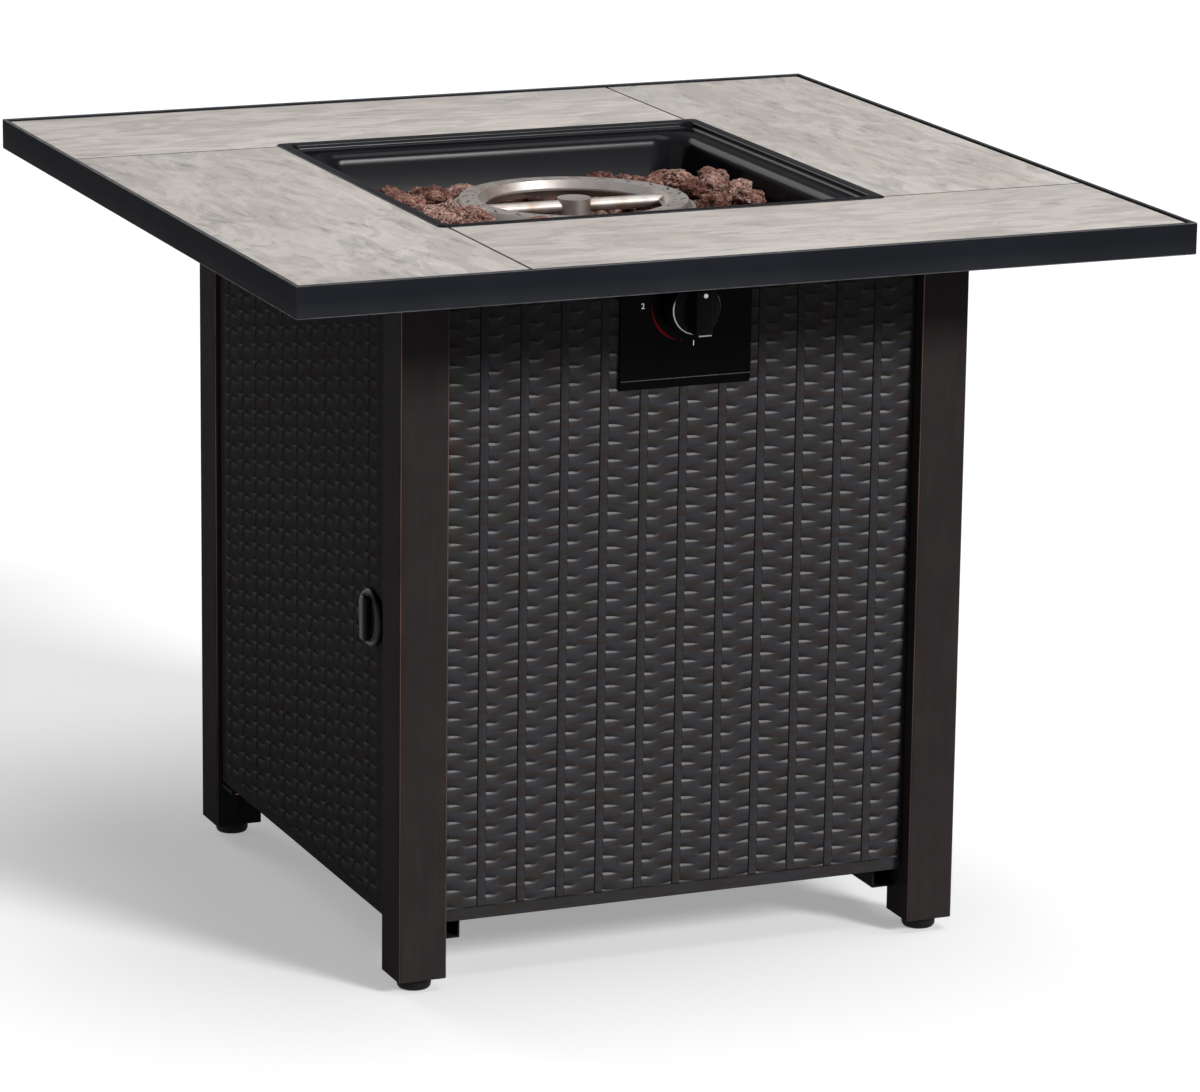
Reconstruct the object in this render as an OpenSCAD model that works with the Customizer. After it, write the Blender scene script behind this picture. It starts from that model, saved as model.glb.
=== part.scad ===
// Square gas fire pit table: a tiled steel tabletop with a sunken burner pan, carried by four
// tube legs with woven-look steel panels, a swinging door to the tank bay, a push-and-turn
// gas control and levelling feet.
// Millimetres. +Z is up and the floor is z = 0. The control side faces -Y, the door faces -X.

/* [Tabletop] */
// Width of the square tabletop across its edge band
table_w = 812.8; // [780:0.1:860]
// Height of the top of the edge band above the floor
table_h = 660; // [600:1:720]
// Height of the edge band
band_h = 28; // [24:1:40]
// Width of the lip that frames the tiles
lip_w = 6; // [4:0.5:10]
// Width of the ledge under the tile tray
ledge_w = 24; // [16:1:40]
// Width of the return flange along the bottom of the edge band
return_w = 12; // [8:1:20]
// Sheet thickness of the edge rails
rail_t = 1.5; // [1:0.1:2]
// Sheet thickness of the tile tray
tray_t = 1.2; // [0.8:0.1:2]
// Depth of the collar that stiffens the tray's opening
collar_h = 14; // [8:1:20]

/* [Tiles] */
// Thickness of the plank tiles
tile_t = 9; // [6:0.5:12]
// Joint between one tile and the next
tile_gap = 1.2; // [0.6:0.1:3]
// How far the tile faces lie below the lip
tile_drop = 0.4; // [0.2:0.1:1]

/* [Fire pan] */
// Width of the square opening that the tiles leave for the pan
opening_w = 400; // [360:1:430]
// How far the pan's rim lies over the tiles
rim_lap = 8; // [5:0.5:12]
// Corner radius of the rim
rim_r = 12; // [8:1:16]
// Sheet thickness of the pan
pan_t = 1.2; // [0.8:0.1:2]
// Depth of the step below the rim
step_drop = 16; // [10:1:22]
// Width of the step
step_w = 18; // [12:1:26]
// Depth of the pan's floor below the rim
pan_depth = 62; // [56:1:70]
// How far the basin walls draw in towards the floor
basin_draft = 9; // [4:1:14]
// Corner radius of the basin at its floor
basin_r = 27; // [18:1:36]

/* [Burner] */
// Mean radius of the burner ring
ring_r = 94; // [84:1:104]
// Width of the ring, seam flanges included
ring_w = 30; // [26:1:36]
// Height of the ring
ring_h = 15; // [12:1:18]
// Height of the ring's underside above the pan floor
ring_lift = 20; // [19:1:26]
// Width of the seam flange where the ring's two halves meet
seam_w = 3; // [2:0.5:4]
// Thickness of the seam flange
seam_t = 1.6; // [1.2:0.1:2.4]
// Wall thickness of the ring
ring_wall = 1; // [0.8:0.1:1.4]
// Radius of a gas port
port_r = 1.5; // [1:0.1:2]
// Number of round gas ports
port_count = 36; // [24:1:48]
// Number of slanted gas slots
slot_count = 24; // [16:1:30]
// Radius of the cross tube that feeds the ring
spoke_r = 6; // [5:0.5:7]
// Radius of the burner's hub
hub_r = 15; // [12:1:18]
// Radius of the threaded nipple under the hub
nipple_r = 9; // [7:0.5:11]
// Height of the locknut under the pan
nut_h = 6; // [5:0.5:8]
// Radius of the mixing tube
mix_r = 11; // [10:0.5:13]
// Distance of the mixing tube's axis below the locknut
mix_drop = 20; // [18:1:26]
// Length of the mixing tube from the burner's axis to its air inlet
mix_len = 112; // [90:1:130]
// Radius of the gas tube
tube_r = 4; // [3:0.5:5]
// Radius of the ceramic igniter rod
rod_r = 3.5; // [3:0.1:4]
// Height of the igniter rod above the pan floor
rod_h = 24; // [18:1:30]

/* [Base frame] */
// Width of the base across the outer faces of the legs
base_w = 527; // [500:1:560]
// Width of a leg's square tube
leg_w = 44; // [38:1:50]
// Wall thickness of a leg
leg_wall = 1.5; // [1.2:0.1:2]
// Outer corner radius of a leg
leg_r = 2.5; // [2:0.1:4]
// Height of the upper rails between the legs
upper_rail_h = 25; // [20:1:30]
// Depth of the upper rails
upper_rail_d = 20; // [16:1:26]
// Wall thickness of the upper rails
upper_rail_t = 1.5; // [1.2:0.1:2]
// Width of the lower box rails that carry the shelf
channel_w = 22; // [16:0.5:26]
// Height of the lower box rails
channel_h = 19; // [15:1:24]
// Wall thickness of the lower box rails
channel_t = 1.5; // [1.2:0.1:2]
// Sheet thickness of the bottom shelf
shelf_t = 1.2; // [0.8:0.1:2]
// Radius of the shelf's hole, which takes the foot ring of a gas cylinder
tank_hole_r = 104; // [90:1:115]
// Height of the turned-up collar round that hole
tank_collar_h = 8; // [5:1:14]

/* [Woven panels] */
// Height of the panels' bottom edge above the floor
panel_z = 57; // [48:1:80]
// How far the fixed panels lie behind the leg faces
panel_recess = 12.5; // [10:0.5:16]
// Sheet thickness of the panels
sheet_t = 1.2; // [0.8:0.1:1.6]
// Depth of the folded hems round a panel
hem_d = 14; // [12:0.5:18]
// Distance between the upright stakes of the weave
stake_pitch = 36.6; // [30:0.1:44]
// Height of one woven strand, groove included
strand_pitch = 7.7; // [6.5:0.1:10]
// Groove between two strands
strand_groove = 0.5; // [0.3:0.1:1]
// Relief of a strand where it passes over a stake
relief = 2.4; // [1.6:0.1:3]
// Relief of a strand where it dives behind a stake
dive = 0.3; // [0.2:0.1:0.5]
// Relief of a stake where it shows between two strands
stake_relief = 1.2; // [0.8:0.1:1.5]
// Width of a stake
stake_w = 8; // [5:0.5:10]
// Flat crown of a strand over a stake
crown_w = 18; // [12:1:22]
// Plain margin beside the weave on the fixed panels
panel_margin = 7; // [5:1:14]
// Plain margin above and below the weave
end_margin = 8; // [5:1:14]

/* [Door] */
// How far the door lies behind the leg faces
door_recess = 2; // [1:0.5:4]
// Gap between the door's edges and the legs
door_gap = 3; // [2.5:0.5:4]
// Plain margin beside the weave on the door
door_margin = 10; // [8:1:24]
// Depth of the folded hems round the door
door_hem_d = 16; // [14:0.5:20]
// Radius of the door's pivot pins
pivot_r = 3.5; // [3:0.1:4]
// Distance of the pivot axis from the door's edge
pivot_inset = 20; // [18:1:26]
// Distance of the pivot axis behind the door's face
pivot_depth = 10; // [9.5:0.5:11]
// Thickness of the pivot plates
plate_t = 3; // [2:0.5:4]

/* [Latch] */
// Height of the latch above the floor
latch_z = 319; // [250:1:400]
// Distance of the latch's axis from the front leg
latch_inset = 29.5; // [28:0.5:36]
// Radius of the latch's bezel
bezel_r = 25; // [22:0.5:28]
// Height of the bezel above the door's face
bezel_h = 4; // [3:0.5:6]
// Width of the bezel's rim
bezel_rim = 5; // [3.5:0.5:6]
// Height of the finger wing above the door's face
wing_h = 10; // [8:0.5:14]
// Width of the finger wing
wing_w = 11; // [8:0.5:14]
// Radius of the latch's spindle
spindle_r = 5; // [4:0.5:6]
// Reach of the cam from the spindle's axis
cam_reach = 24; // [20:1:26]
// Width of the cam
cam_w = 15; // [13:1:18]
// Thickness of the cam and of the strike
cam_t = 2.5; // [1.5:0.5:4]
// Height of the strike
strike_h = 60; // [40:1:80]
// Depth of the strike's tongue behind the door's edge
strike_reach = 11; // [8:0.5:12]

/* [Gas control] */
// Width of the control panel
control_w = 122; // [100:1:140]
// Height of the control panel, which hangs below the upper rails
control_h = 105.4; // [95:0.1:120]
// Height of the slanted lip along the control panel's bottom
control_lip = 8; // [5:0.5:12]
// How far the control panel's face lies behind the leg faces
control_recess = 10; // [8:0.5:11]
// Sheet thickness of the control panel
control_t = 1.2; // [0.8:0.1:1.6]
// Distance of the knob's axis below the upper rails
knob_drop = 37.4; // [34:0.1:48]
// Radius of the knob's skirt
knob_r = 23; // [20:0.5:26]
// Height of the knob's skirt
skirt_h = 18; // [12:0.5:20]
// Depth of the knob from its back to the front of its grip
knob_h = 36; // [32:1:42]
// Width of the knob's grip
grip_w = 15; // [12:0.5:18]
// Travel of the knob when it is pushed in
push_travel = 4; // [2:0.5:5]
// Width of the trim ring on the knob's skirt
trim_w = 2.2; // [1.5:0.1:3]
// Radius of the valve's stem
stem_r = 4; // [3:0.5:5]
// Width of the valve's body
valve_w = 34; // [30:1:40]
// Height of the valve's body
valve_h = 36; // [32:1:42]
// Depth of the valve's body
valve_d = 33; // [28:1:40]
// Radius of the valve's nose
nose_r = 11; // [10:0.5:13]
// Radius of the collar that slides in the valve's nose
collar_r = 8; // [7:0.5:9]
// Thickness of that collar
collar_t = 4; // [3:0.5:5]
// Radius of the gas inlet's threaded stub
inlet_r = 7.9; // [6:0.1:9]
// Length of the gas inlet's threaded stub
inlet_len = 14; // [10:1:18]
// Sheet thickness of the valve's bracket
bracket_t = 1.5; // [1.2:0.1:2]

/* [Feet] */
// Height of a leg's lower end above the floor
foot_h = 12; // [8:0.5:20]
// Radius of a foot's glide
glide_r = 15; // [12:0.5:20]
// Radius of a foot's threaded stud
stud_r = 4; // [3:0.5:5]
// Length of the stud inside the leg
stud_len = 22; // [18:1:30]
// Height of the plug that closes a leg and takes the stud
plug_h = 24; // [20:1:32]

/* [Lava rocks] */
// Size of the square cell that holds one rock
rock_cell = 42; // [36:1:48]
// Height of a rock under the burner ring
low_rock_h = 17; // [12:1:18]
// Height of a rock beside the burner ring
tall_rock_h = 28; // [22:1:30]
// Height of a rock heaped on another one
heap_rock_h = 23; // [16:1:26]

/* [Fits] */
// Radial running clearance of a shaft in its bore
run_fit = 0.06; // [0.02:0.01:0.1]
// Clearance between pieces that are set in beside each other
set_fit = 0.5; // [0.3:0.1:0.8]
// Clearance between pieces that move past each other
move_fit = 0.4; // [0.3:0.1:0.6]

/* [Hidden] */
$fn = 48;
cut = 1;

// One quarter turn takes the front side to the next one
FRONT = 0;
RIGHT = 90;
BACK = 180;
LEFT = -90;

// Heights of the tabletop's layers
z_band = table_h - band_h;
z_tile = table_h - tile_drop;
z_tray = z_tile - tile_t;
z_ledge = z_tray - tray_t;

// Plan of the tabletop
table_half = table_w / 2;
tile_half = table_half - lip_w - set_fit;
open_half = opening_w / 2;

// Fire pan
z_rim = z_tile + pan_t;
z_step = z_rim - step_drop;
z_floor = z_rim - pan_depth;
wall_half = open_half - set_fit;
basin_top_half = wall_half - pan_t - step_w;
basin_floor_half = basin_top_half - basin_draft;

// Burner
z_ring = z_floor + ring_lift + ring_h / 2;
z_nut = z_floor - pan_t - nut_h;
z_mix = z_nut - mix_drop;
igniter_x = rock_cell / 2;
igniter_y = -rock_cell * 3 / 2;
igniter_offset = 7;
probe_r = rod_r - 1;
igniter_plate_t = 2;

// Base frame
base_half = base_w / 2;
leg_c = base_half - leg_w / 2;
leg_in = base_half - leg_w;
z_upper_rail = z_ledge - upper_rail_h;
z_channel = panel_z - channel_h;
panel_in = base_half - panel_recess - hem_d;
channel_half = panel_in - set_fit;

// Woven panels
panel_w = 2 * (leg_in - set_fit);
panel_h = z_upper_rail - panel_z;

// Door
door_w = 2 * (leg_in - door_gap);
pivot_collar_h = 1.7;
door_h = z_upper_rail - plate_t - pivot_collar_h - move_fit - panel_z;
door_face = base_half - door_recess;
pivot_collar_r = pivot_r + 2;
pivot_x = -door_face + pivot_depth;
pivot_y = door_w / 2 - pivot_inset;
pivot_pad = 2 * pivot_collar_r + 5;
z_pivot_plate = panel_z - pivot_collar_h - move_fit - plate_t;
pivot_flange_h = 28;

// Latch
latch_y = -leg_in + latch_inset;
sleeve_r = spindle_r + 3.5;
disc_r = bezel_r - bezel_rim;
disc_t = 2;
recess_floor = bezel_h - disc_t - move_fit;
door_back = door_face - door_hem_d;
strike_x = -door_back + move_fit;
cam_x = strike_x + cam_t + move_fit;

// Gas control
control_face = base_half - control_recess;
control_back = control_face - control_t;
weave_face = base_half - panel_recess;
z_control_top = z_upper_rail - 4;
control_z = z_control_top - control_h;
knob_z = z_upper_rail - knob_drop;
knob_back = control_face + push_travel + move_fit;
nose_front = control_back - bracket_t - set_fit;
nose_len = collar_t + push_travel + 6;
valve_front = nose_front - nose_len + cut;
valve_back = valve_front - valve_d;
collar_front = nose_front - 3;
z_outlet = knob_z - 4;
outlet_r = 7;
outlet_len = 9;
inlet_y = -valve_back - valve_d / 2;
z_inlet_hex = knob_z - valve_h / 2 - 6;
cutout_w = 72;
cutout_h = 64;
plate_margin = 5;

// Square with true round corners
module rounded_square(w, r) {
    square([w, w - 2 * r], center = true);
    square([w - 2 * r, w], center = true);
    for (x = [-1, 1], y = [-1, 1])
        translate([x * (w / 2 - r), y * (w / 2 - r)]) circle(r);
}

// Puts a piece drawn for the front on another side of the table
module on_side(turn) {
    rotate([0, 0, turn]) children();
}

// Extrudes an outline of (distance inward, height) points along X, centred
module along_x(length) {
    translate([-length / 2, 0, 0]) rotate([90, 0, 90]) linear_extrude(length) children();
}

// Turns a piece whose axis is +Z so that it faces the front
module facing_front() {
    rotate([90, 0, 0]) children();
}

// Turns a piece whose axis is +Z so that it faces the door side
module facing_left() {
    rotate([0, -90, 0]) children();
}

// Roll-formed edge rail: outer band, lip, inner wall, ledge and bottom return, mitred at both ends
module edge_rail(turn) {
    profile = [
        [0, z_band], [0, table_h], [lip_w, table_h], [lip_w, z_ledge],
        [lip_w + ledge_w, z_ledge], [lip_w + ledge_w, z_ledge - rail_t],
        [lip_w - rail_t, z_ledge - rail_t], [lip_w - rail_t, table_h - rail_t],
        [rail_t, table_h - rail_t], [rail_t, z_band + rail_t],
        [return_w, z_band + rail_t], [return_w, z_band]
    ];
    color("#23252b") on_side(turn) intersection() {
        translate([0, -table_half, 0]) along_x(table_w) polygon(profile);
        linear_extrude(2 * table_h)
            polygon([[0, 0], [-table_half, -table_half], [table_half, -table_half]]);
    }
}

// Sheet that carries the tiles, with a square opening stiffened by a turned-down collar
module top_tray() {
    tray_w = 2 * tile_half;
    color("#2b2b2d") difference() {
        union() {
            translate([0, 0, z_ledge + tray_t / 2]) cube([tray_w, tray_w, tray_t], center = true);
            translate([0, 0, z_tray - collar_h / 2])
                cube([opening_w + 2 * tray_t, opening_w + 2 * tray_t, collar_h], center = true);
        }
        translate([0, 0, z_tray - collar_h / 2])
            cube([opening_w, opening_w, collar_h + 2 * cut], center = true);
    }
}

// One plank of the pinwheel: it starts beside the tile before it and runs to the far edge
module tile(turn) {
    color("#b9b5ae") on_side(turn)
        translate([-open_half + tile_gap, -tile_half, z_tray])
            cube([tile_half + open_half - tile_gap, tile_half - open_half, tile_t]);
}

// Basin with drafted walls, grown outwards by the given wall thickness
module basin(wall, z_top) {
    floor_half = basin_floor_half + wall;
    height = z_top - z_floor + wall;
    run = basin_draft * height / (z_step - z_floor);
    translate([0, 0, z_floor - wall])
        linear_extrude(height, scale = (floor_half + run) / floor_half)
            rounded_square(2 * floor_half, basin_r);
}

// Pressed pan: rim on the tiles, short upright wall, step, then the drafted basin
module burner_pan() {
    color("#1d1d1f") difference() {
        union() {
            translate([0, 0, z_tile]) linear_extrude(pan_t)
                rounded_square(opening_w + 2 * rim_lap, rim_r);
            translate([0, 0, z_step - pan_t]) linear_extrude(z_rim - z_step + pan_t)
                rounded_square(2 * wall_half, rim_r - pan_t);
            basin(pan_t, z_step - pan_t / 2);
        }
        translate([0, 0, z_step]) linear_extrude(z_rim - z_step + cut)
            rounded_square(2 * (wall_half - pan_t), rim_r - 2 * pan_t);
        basin(0, z_step + cut);
        translate([0, 0, z_floor - 2 * pan_t]) cylinder(r = nipple_r + set_fit, h = 4 * pan_t);
        for (side = [-1, 1])
            translate([igniter_x + side * igniter_offset, igniter_y, z_floor - 2 * pan_t])
                cylinder(r = rod_r + set_fit, h = 4 * pan_t);
    }
}

// Half outline of the ring's pressed section, from the inner seam to the outer one
function ring_outline(flange, wall) =
    let (inner = ring_r - ring_w / 2 + flange, outer = ring_r + ring_w / 2 - flange,
         slope = ring_h / 4, top = ring_h / 2 - wall)
    [[inner + wall, 0], [inner + slope + wall / 2, top], [outer - slope - wall / 2, top],
     [outer - wall, 0], [outer - slope - wall / 2, -top], [inner + slope + wall / 2, -top]];

// Ring burner of two pressed halves, fed by a cross tube from a central hub
module burner_ring() {
    slot_l = ring_w / 3;
    slot_w = 2;
    color("#b7b2aa") difference() {
        union() {
            translate([0, 0, z_ring]) rotate_extrude() polygon(ring_outline(seam_w, 0));
            translate([0, 0, z_ring - seam_t / 2]) difference() {
                cylinder(r = ring_r + ring_w / 2, h = seam_t);
                translate([0, 0, -cut]) cylinder(r = ring_r - ring_w / 2, h = seam_t + 2 * cut);
            }
            translate([-ring_r, 0, z_ring]) rotate([0, 90, 0]) cylinder(r = spoke_r, h = 2 * ring_r);
            translate([0, 0, z_floor]) cylinder(r = hub_r, h = z_ring + ring_h / 2 - z_floor);
            translate([0, 0, z_nut - nut_h]) cylinder(r = nipple_r, h = z_floor - z_nut + nut_h + cut);
        }
        translate([0, 0, z_ring]) rotate_extrude() polygon(ring_outline(seam_w, ring_wall));
        translate([-ring_r, 0, z_ring]) rotate([0, 90, 0])
            cylinder(r = spoke_r - ring_wall, h = 2 * ring_r);
        translate([0, 0, z_nut - nut_h - cut])
            cylinder(r = nipple_r - 2 * ring_wall, h = z_ring - z_nut + nut_h + cut);
        for (i = [0 : port_count - 1])
            rotate([0, 0, (i + 0.5) * 360 / port_count])
                translate([ring_r - ring_w / 8, 0, z_ring + ring_h / 4])
                    cylinder(r = port_r, h = ring_h);
        for (i = [0 : slot_count - 1])
            rotate([0, 0, (i + 0.5) * 360 / slot_count])
                translate([ring_r + ring_w / 9, 0, z_ring + ring_h * 3 / 4])
                    rotate([0, 0, 60]) cube([slot_l, slot_w, ring_h], center = true);
    }
}

// Hexagon nut that holds the burner's nipple under the pan
module burner_locknut() {
    color("#b08d57") translate([0, 0, z_nut]) difference() {
        cylinder(r = nipple_r * 1.8, h = nut_h, $fn = 6);
        translate([0, 0, -cut]) cylinder(r = nipple_r + run_fit, h = nut_h + 2 * cut);
    }
}

// Mixing tube under the pan: an elbow on the burner's nipple and a horizontal tube with air windows
module mixing_tube() {
    wall = 1.6;
    window = 16;
    color("#8f8f8c") difference() {
        union() {
            translate([0, 0, z_mix - mix_r - wall])
                cylinder(r = mix_r + wall, h = z_nut - z_mix + mix_r + wall);
            translate([0, 0, z_mix]) facing_front() cylinder(r = mix_r, h = mix_len);
        }
        translate([0, 0, z_mix - mix_r + wall]) cylinder(r = nipple_r + run_fit, h = z_nut);
        translate([0, 0, z_mix]) facing_front() cylinder(r = mix_r - wall, h = mix_len - 2 * wall);
        translate([0, 0, z_mix]) facing_front() cylinder(r = tube_r + run_fit, h = mix_len + cut);
        for (turn = [0, 90])
            translate([0, -mix_len + window, z_mix]) rotate([0, turn, 0])
                cube([mix_r, window, 3 * mix_r], center = true);
    }
}

// Point of the gas tube's centre line, from the valve's outlet (0) to the mixing tube (1)
function tube_point(t) =
    let (start = valve_back - outlet_len, end = mix_len - 3, ease = t * t * (3 - 2 * t))
    [0, -(start + (end - start) * t), z_outlet + (z_mix - z_outlet) * ease];

// Bent tube from the valve to the burner, with a flare nut at the valve
module gas_tube() {
    sides = 12;
    steps = 16;
    nut_cap = 3;
    ring = [for (k = [0 : sides - 1]) tube_r * [cos(k * 360 / sides), 0, sin(k * 360 / sides)]];
    points = [for (i = [0 : steps], p = ring) tube_point(i / steps) + p];
    walls = [for (i = [0 : steps - 1], k = [0 : sides - 1])
        let (a = i * sides + k, b = i * sides + (k + 1) % sides)
        each [[a, b, a + sides], [b, b + sides, a + sides]]];
    ends = [[for (k = [sides - 1 : -1 : 0]) k], [for (k = [0 : sides - 1]) steps * sides + k]];
    color("#b9bcc0") {
        polyhedron(points, concat(walls, ends));
        translate([0, -valve_back + outlet_len + nut_cap, z_outlet]) facing_front() difference() {
            cylinder(r = outlet_r + 3, h = nut_cap + outlet_len - 2, $fn = 6);
            translate([0, 0, nut_cap]) cylinder(r = outlet_r + run_fit, h = outlet_len);
        }
    }
}

// Flat plate on the pan floor that holds the igniter rod and the flame probe
module igniter_bracket() {
    plate_l = 4 * igniter_offset;
    color("#a9a9a6") difference() {
        translate([igniter_x, igniter_y, z_floor + igniter_plate_t / 2])
            cube([plate_l, 2 * igniter_offset, igniter_plate_t], center = true);
        for (side = [-1, 1])
            translate([igniter_x + side * igniter_offset, igniter_y, z_floor - cut])
                cylinder(r = (side < 0 ? rod_r : probe_r) + run_fit, h = igniter_plate_t + 2 * cut);
    }
}

// Ceramic rod with a collar that seats on its plate and a bare spark tip
module igniter_rod() {
    tip_r = 0.9;
    color("#e4e0d6") translate([igniter_x - igniter_offset, igniter_y, 0]) {
        translate([0, 0, z_floor - 14]) cylinder(r = rod_r, h = rod_h + 14);
        translate([0, 0, z_floor + igniter_plate_t]) cylinder(r = rod_r + 1.5, h = 3);
        translate([0, 0, z_floor + rod_h]) cylinder(r = tip_r, h = 6);
    }
}

// Flame-sensing probe beside the igniter, with the same seat
module flame_probe() {
    color("#b87f4a") translate([igniter_x + igniter_offset, igniter_y, 0]) {
        translate([0, 0, z_floor - 14]) cylinder(r = probe_r, h = rod_h + 16);
        translate([0, 0, z_floor + igniter_plate_t]) cylinder(r = probe_r + 1.5, h = 4);
    }
}

// Repeatable value from 0 to 1 for a cell of the rock bed
function scatter(i, j, k) = let (s = 437.585 * sin(127.1 * i + 311.7 * j + 74.7 * k)) s - floor(s);

// Broken stone with a flat base, a wide belly and a blunt top, in a cell of the rock bed
module rock(i, j, z, h) {
    sides = 6;
    reach = rock_cell / 2 - 2.5;
    levels = [[0, 0.62], [0.42, 1], [0.82, 0.66]];
    points = concat(
        [for (l = [0 : 2], k = [0 : sides - 1])
            let (a = 360 * (k + scatter(i, j, l) * 0.6) / sides,
                 r = reach * levels[l][1] * (0.8 + 0.2 * scatter(i + k, j - k, l + 3)))
            [r * cos(a), r * sin(a), h * levels[l][0]]],
        [[0, 0, h]]);
    walls = [for (l = [0 : 1], k = [0 : sides - 1])
        let (a = l * sides + k, b = l * sides + (k + 1) % sides)
        each [[a, a + sides, b], [b, a + sides, b + sides]]];
    base = [[for (k = [0 : sides - 1]) k]];
    top = [for (k = [0 : sides - 1]) [2 * sides + k, 3 * sides, 2 * sides + (k + 1) % sides]];
    translate([i * rock_cell, j * rock_cell, z]) polyhedron(points, concat(base, walls, top));
}

// Bed of loose rocks: low under the burner, taller round it, heaped along the door and front sides
module lava_rocks() {
    seat = 0.3;
    last = floor((basin_floor_half + 1) / rock_cell) - 0.5;
    reach = rock_cell / 2;
    color("#6b4438") for (i = [-last : last], j = [-last : last]) {
        d = norm([i, j]) * rock_cell;
        at_igniter = norm([i * rock_cell - igniter_x, j * rock_cell - igniter_y]) < reach;
        clear = d > ring_r + ring_w / 2 + reach;
        if (d > hub_r + reach && !at_igniter) {
            rock(i, j, z_floor + seat, clear ? tall_rock_h : low_rock_h);
            if (clear && (i < -2 || (j < -2 && i < 1) || (i > 3 && abs(j) < 1)))
                rock(i, j, z_floor + tall_rock_h + 2 * seat, heap_rock_h);
        }
    }
}

// Square tube leg from the plug's lower face up to the tile tray
module leg(sx, sy) {
    color("#2c2624") translate([sx * leg_c, sy * leg_c, foot_h])
        linear_extrude(z_ledge - foot_h) difference() {
            rounded_square(leg_w, leg_r);
            rounded_square(leg_w - 2 * leg_wall, leg_r - leg_wall);
        }
}

// Moulded plug that closes a leg and takes the foot's stud
module leg_plug(sx, sy) {
    plug_w = leg_w - 2 * leg_wall - set_fit;
    color("#1b1b1c") translate([sx * leg_c, sy * leg_c, foot_h]) difference() {
        linear_extrude(plug_h) rounded_square(plug_w, leg_r);
        translate([0, 0, -cut]) cylinder(r = stud_r + run_fit, h = plug_h + 2 * cut);
    }
}

// Round glide on a stud that screws into the plug
module foot(sx, sy) {
    z_glide = foot_h - move_fit;
    color("#141415") translate([sx * leg_c, sy * leg_c, 0]) rotate_extrude() polygon([
        [0, 0], [glide_r * 0.8, 0], [glide_r * 0.95, z_glide * 0.15], [glide_r, z_glide * 0.4],
        [glide_r, z_glide], [stud_r, z_glide], [stud_r, foot_h + stud_len], [0, foot_h + stud_len]
    ]);
}

// Box-section rail between two legs under the tile tray
module upper_rail(turn) {
    color("#232325") on_side(turn) translate([0, -leg_c, z_upper_rail]) along_x(2 * leg_in) difference() {
        translate([-upper_rail_d / 2, 0]) square([upper_rail_d, upper_rail_h]);
        translate([-upper_rail_d / 2 + upper_rail_t, upper_rail_t])
            square([upper_rail_d - 2 * upper_rail_t, upper_rail_h - 2 * upper_rail_t]);
    }
}

// Box-section rail on the inner faces of two legs, open at its ends, that carries the shelf
module lower_channel(turn) {
    color("#19191b") on_side(turn) translate([0, -leg_in, z_channel])
    along_x(2 * channel_half) difference() {
        square([channel_w, channel_h]);
        translate([channel_t, channel_t]) square([channel_w - 2 * channel_t, channel_h - 2 * channel_t]);
    }
}

// Sheet shelf with a collared hole for the foot ring of a gas cylinder
module bottom_shelf() {
    shelf_x = 2 * (leg_in - set_fit);
    color("#1f1f21") difference() {
        union() {
            translate([0, 0, panel_z + shelf_t / 2])
                cube([shelf_x, 2 * channel_half, shelf_t], center = true);
            translate([0, 0, panel_z]) cylinder(r = tank_hole_r + shelf_t, h = tank_collar_h + shelf_t);
        }
        translate([0, 0, panel_z - cut]) cylinder(r = tank_hole_r, h = tank_collar_h + shelf_t + 2 * cut);
    }
}

// Outline points of a strand beside one stake: a flat crown over it, or a dive behind it
function at_stake(x, over) = over
    ? [[x - crown_w / 2, relief], [x + crown_w / 2, relief]]
    : [[x - stake_w / 2, dive], [x - stake_w / 2, stake_relief],
       [x + stake_w / 2, stake_relief], [x + stake_w / 2, dive]];

// One strand in plan: it runs over and under the stakes in turn, its root sunk in the sheet
module strand(half, phase) {
    stakes = floor((half - crown_w / 2 - cut) / stake_pitch);
    front = [for (k = [-stakes : stakes]) each at_stake(k * stake_pitch, (k + phase) % 2 == 0)];
    level = (relief + dive) / 2;
    outline = concat([[-half, -sheet_t / 2], [-half, level]], front,
        [[half, level], [half, -sheet_t / 2]]);
    polygon([for (p = outline) [p.x, relief - p.y]]);
}

// Pressed sheet with folded hems and a basket weave on its face. Its highest strands touch y = 0,
// it faces -Y and it stands on z = 0
module woven_sheet(w, h, depth, margin) {
    rows = floor((h - 2 * end_margin) / strand_pitch);
    start = (h - rows * strand_pitch + strand_groove) / 2;
    difference() {
        translate([-w / 2, relief, 0]) cube([w, depth - relief, h]);
        translate([-w / 2 + sheet_t, relief + sheet_t, sheet_t])
            cube([w - 2 * sheet_t, depth, h - 2 * sheet_t]);
    }
    for (i = [0 : rows - 1])
        translate([0, 0, start + i * strand_pitch])
            linear_extrude(strand_pitch - strand_groove) strand(w / 2 - margin, i % 2);
}

// Woven panel fixed between two legs
module fixed_panel(turn) {
    color("#2a2725") on_side(turn) translate([0, -weave_face, panel_z])
        woven_sheet(panel_w, panel_h, hem_d, panel_margin);
}

// Front panel, cut out behind the control panel for the valve
module front_panel() {
    color("#2a2725") difference() {
        fixed_panel(FRONT);
        translate([0, -weave_face + hem_d / 2, knob_z])
            cube([cutout_w, 2 * hem_d, cutout_h], center = true);
    }
}

// Woven door, drilled for its pivot pins and for the latch
module door_panel() {
    color("#2a2725") difference() {
        on_side(LEFT) translate([0, -door_face, panel_z])
            woven_sheet(door_w, door_h, door_hem_d, door_margin);
        translate([pivot_x, pivot_y, panel_z - cut])
            cylinder(r = pivot_r + run_fit, h = door_h + 2 * cut);
        translate([-door_face, latch_y, latch_z]) facing_left()
            cylinder(r = sleeve_r + run_fit, h = 4 * door_hem_d, center = true);
    }
}

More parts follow.
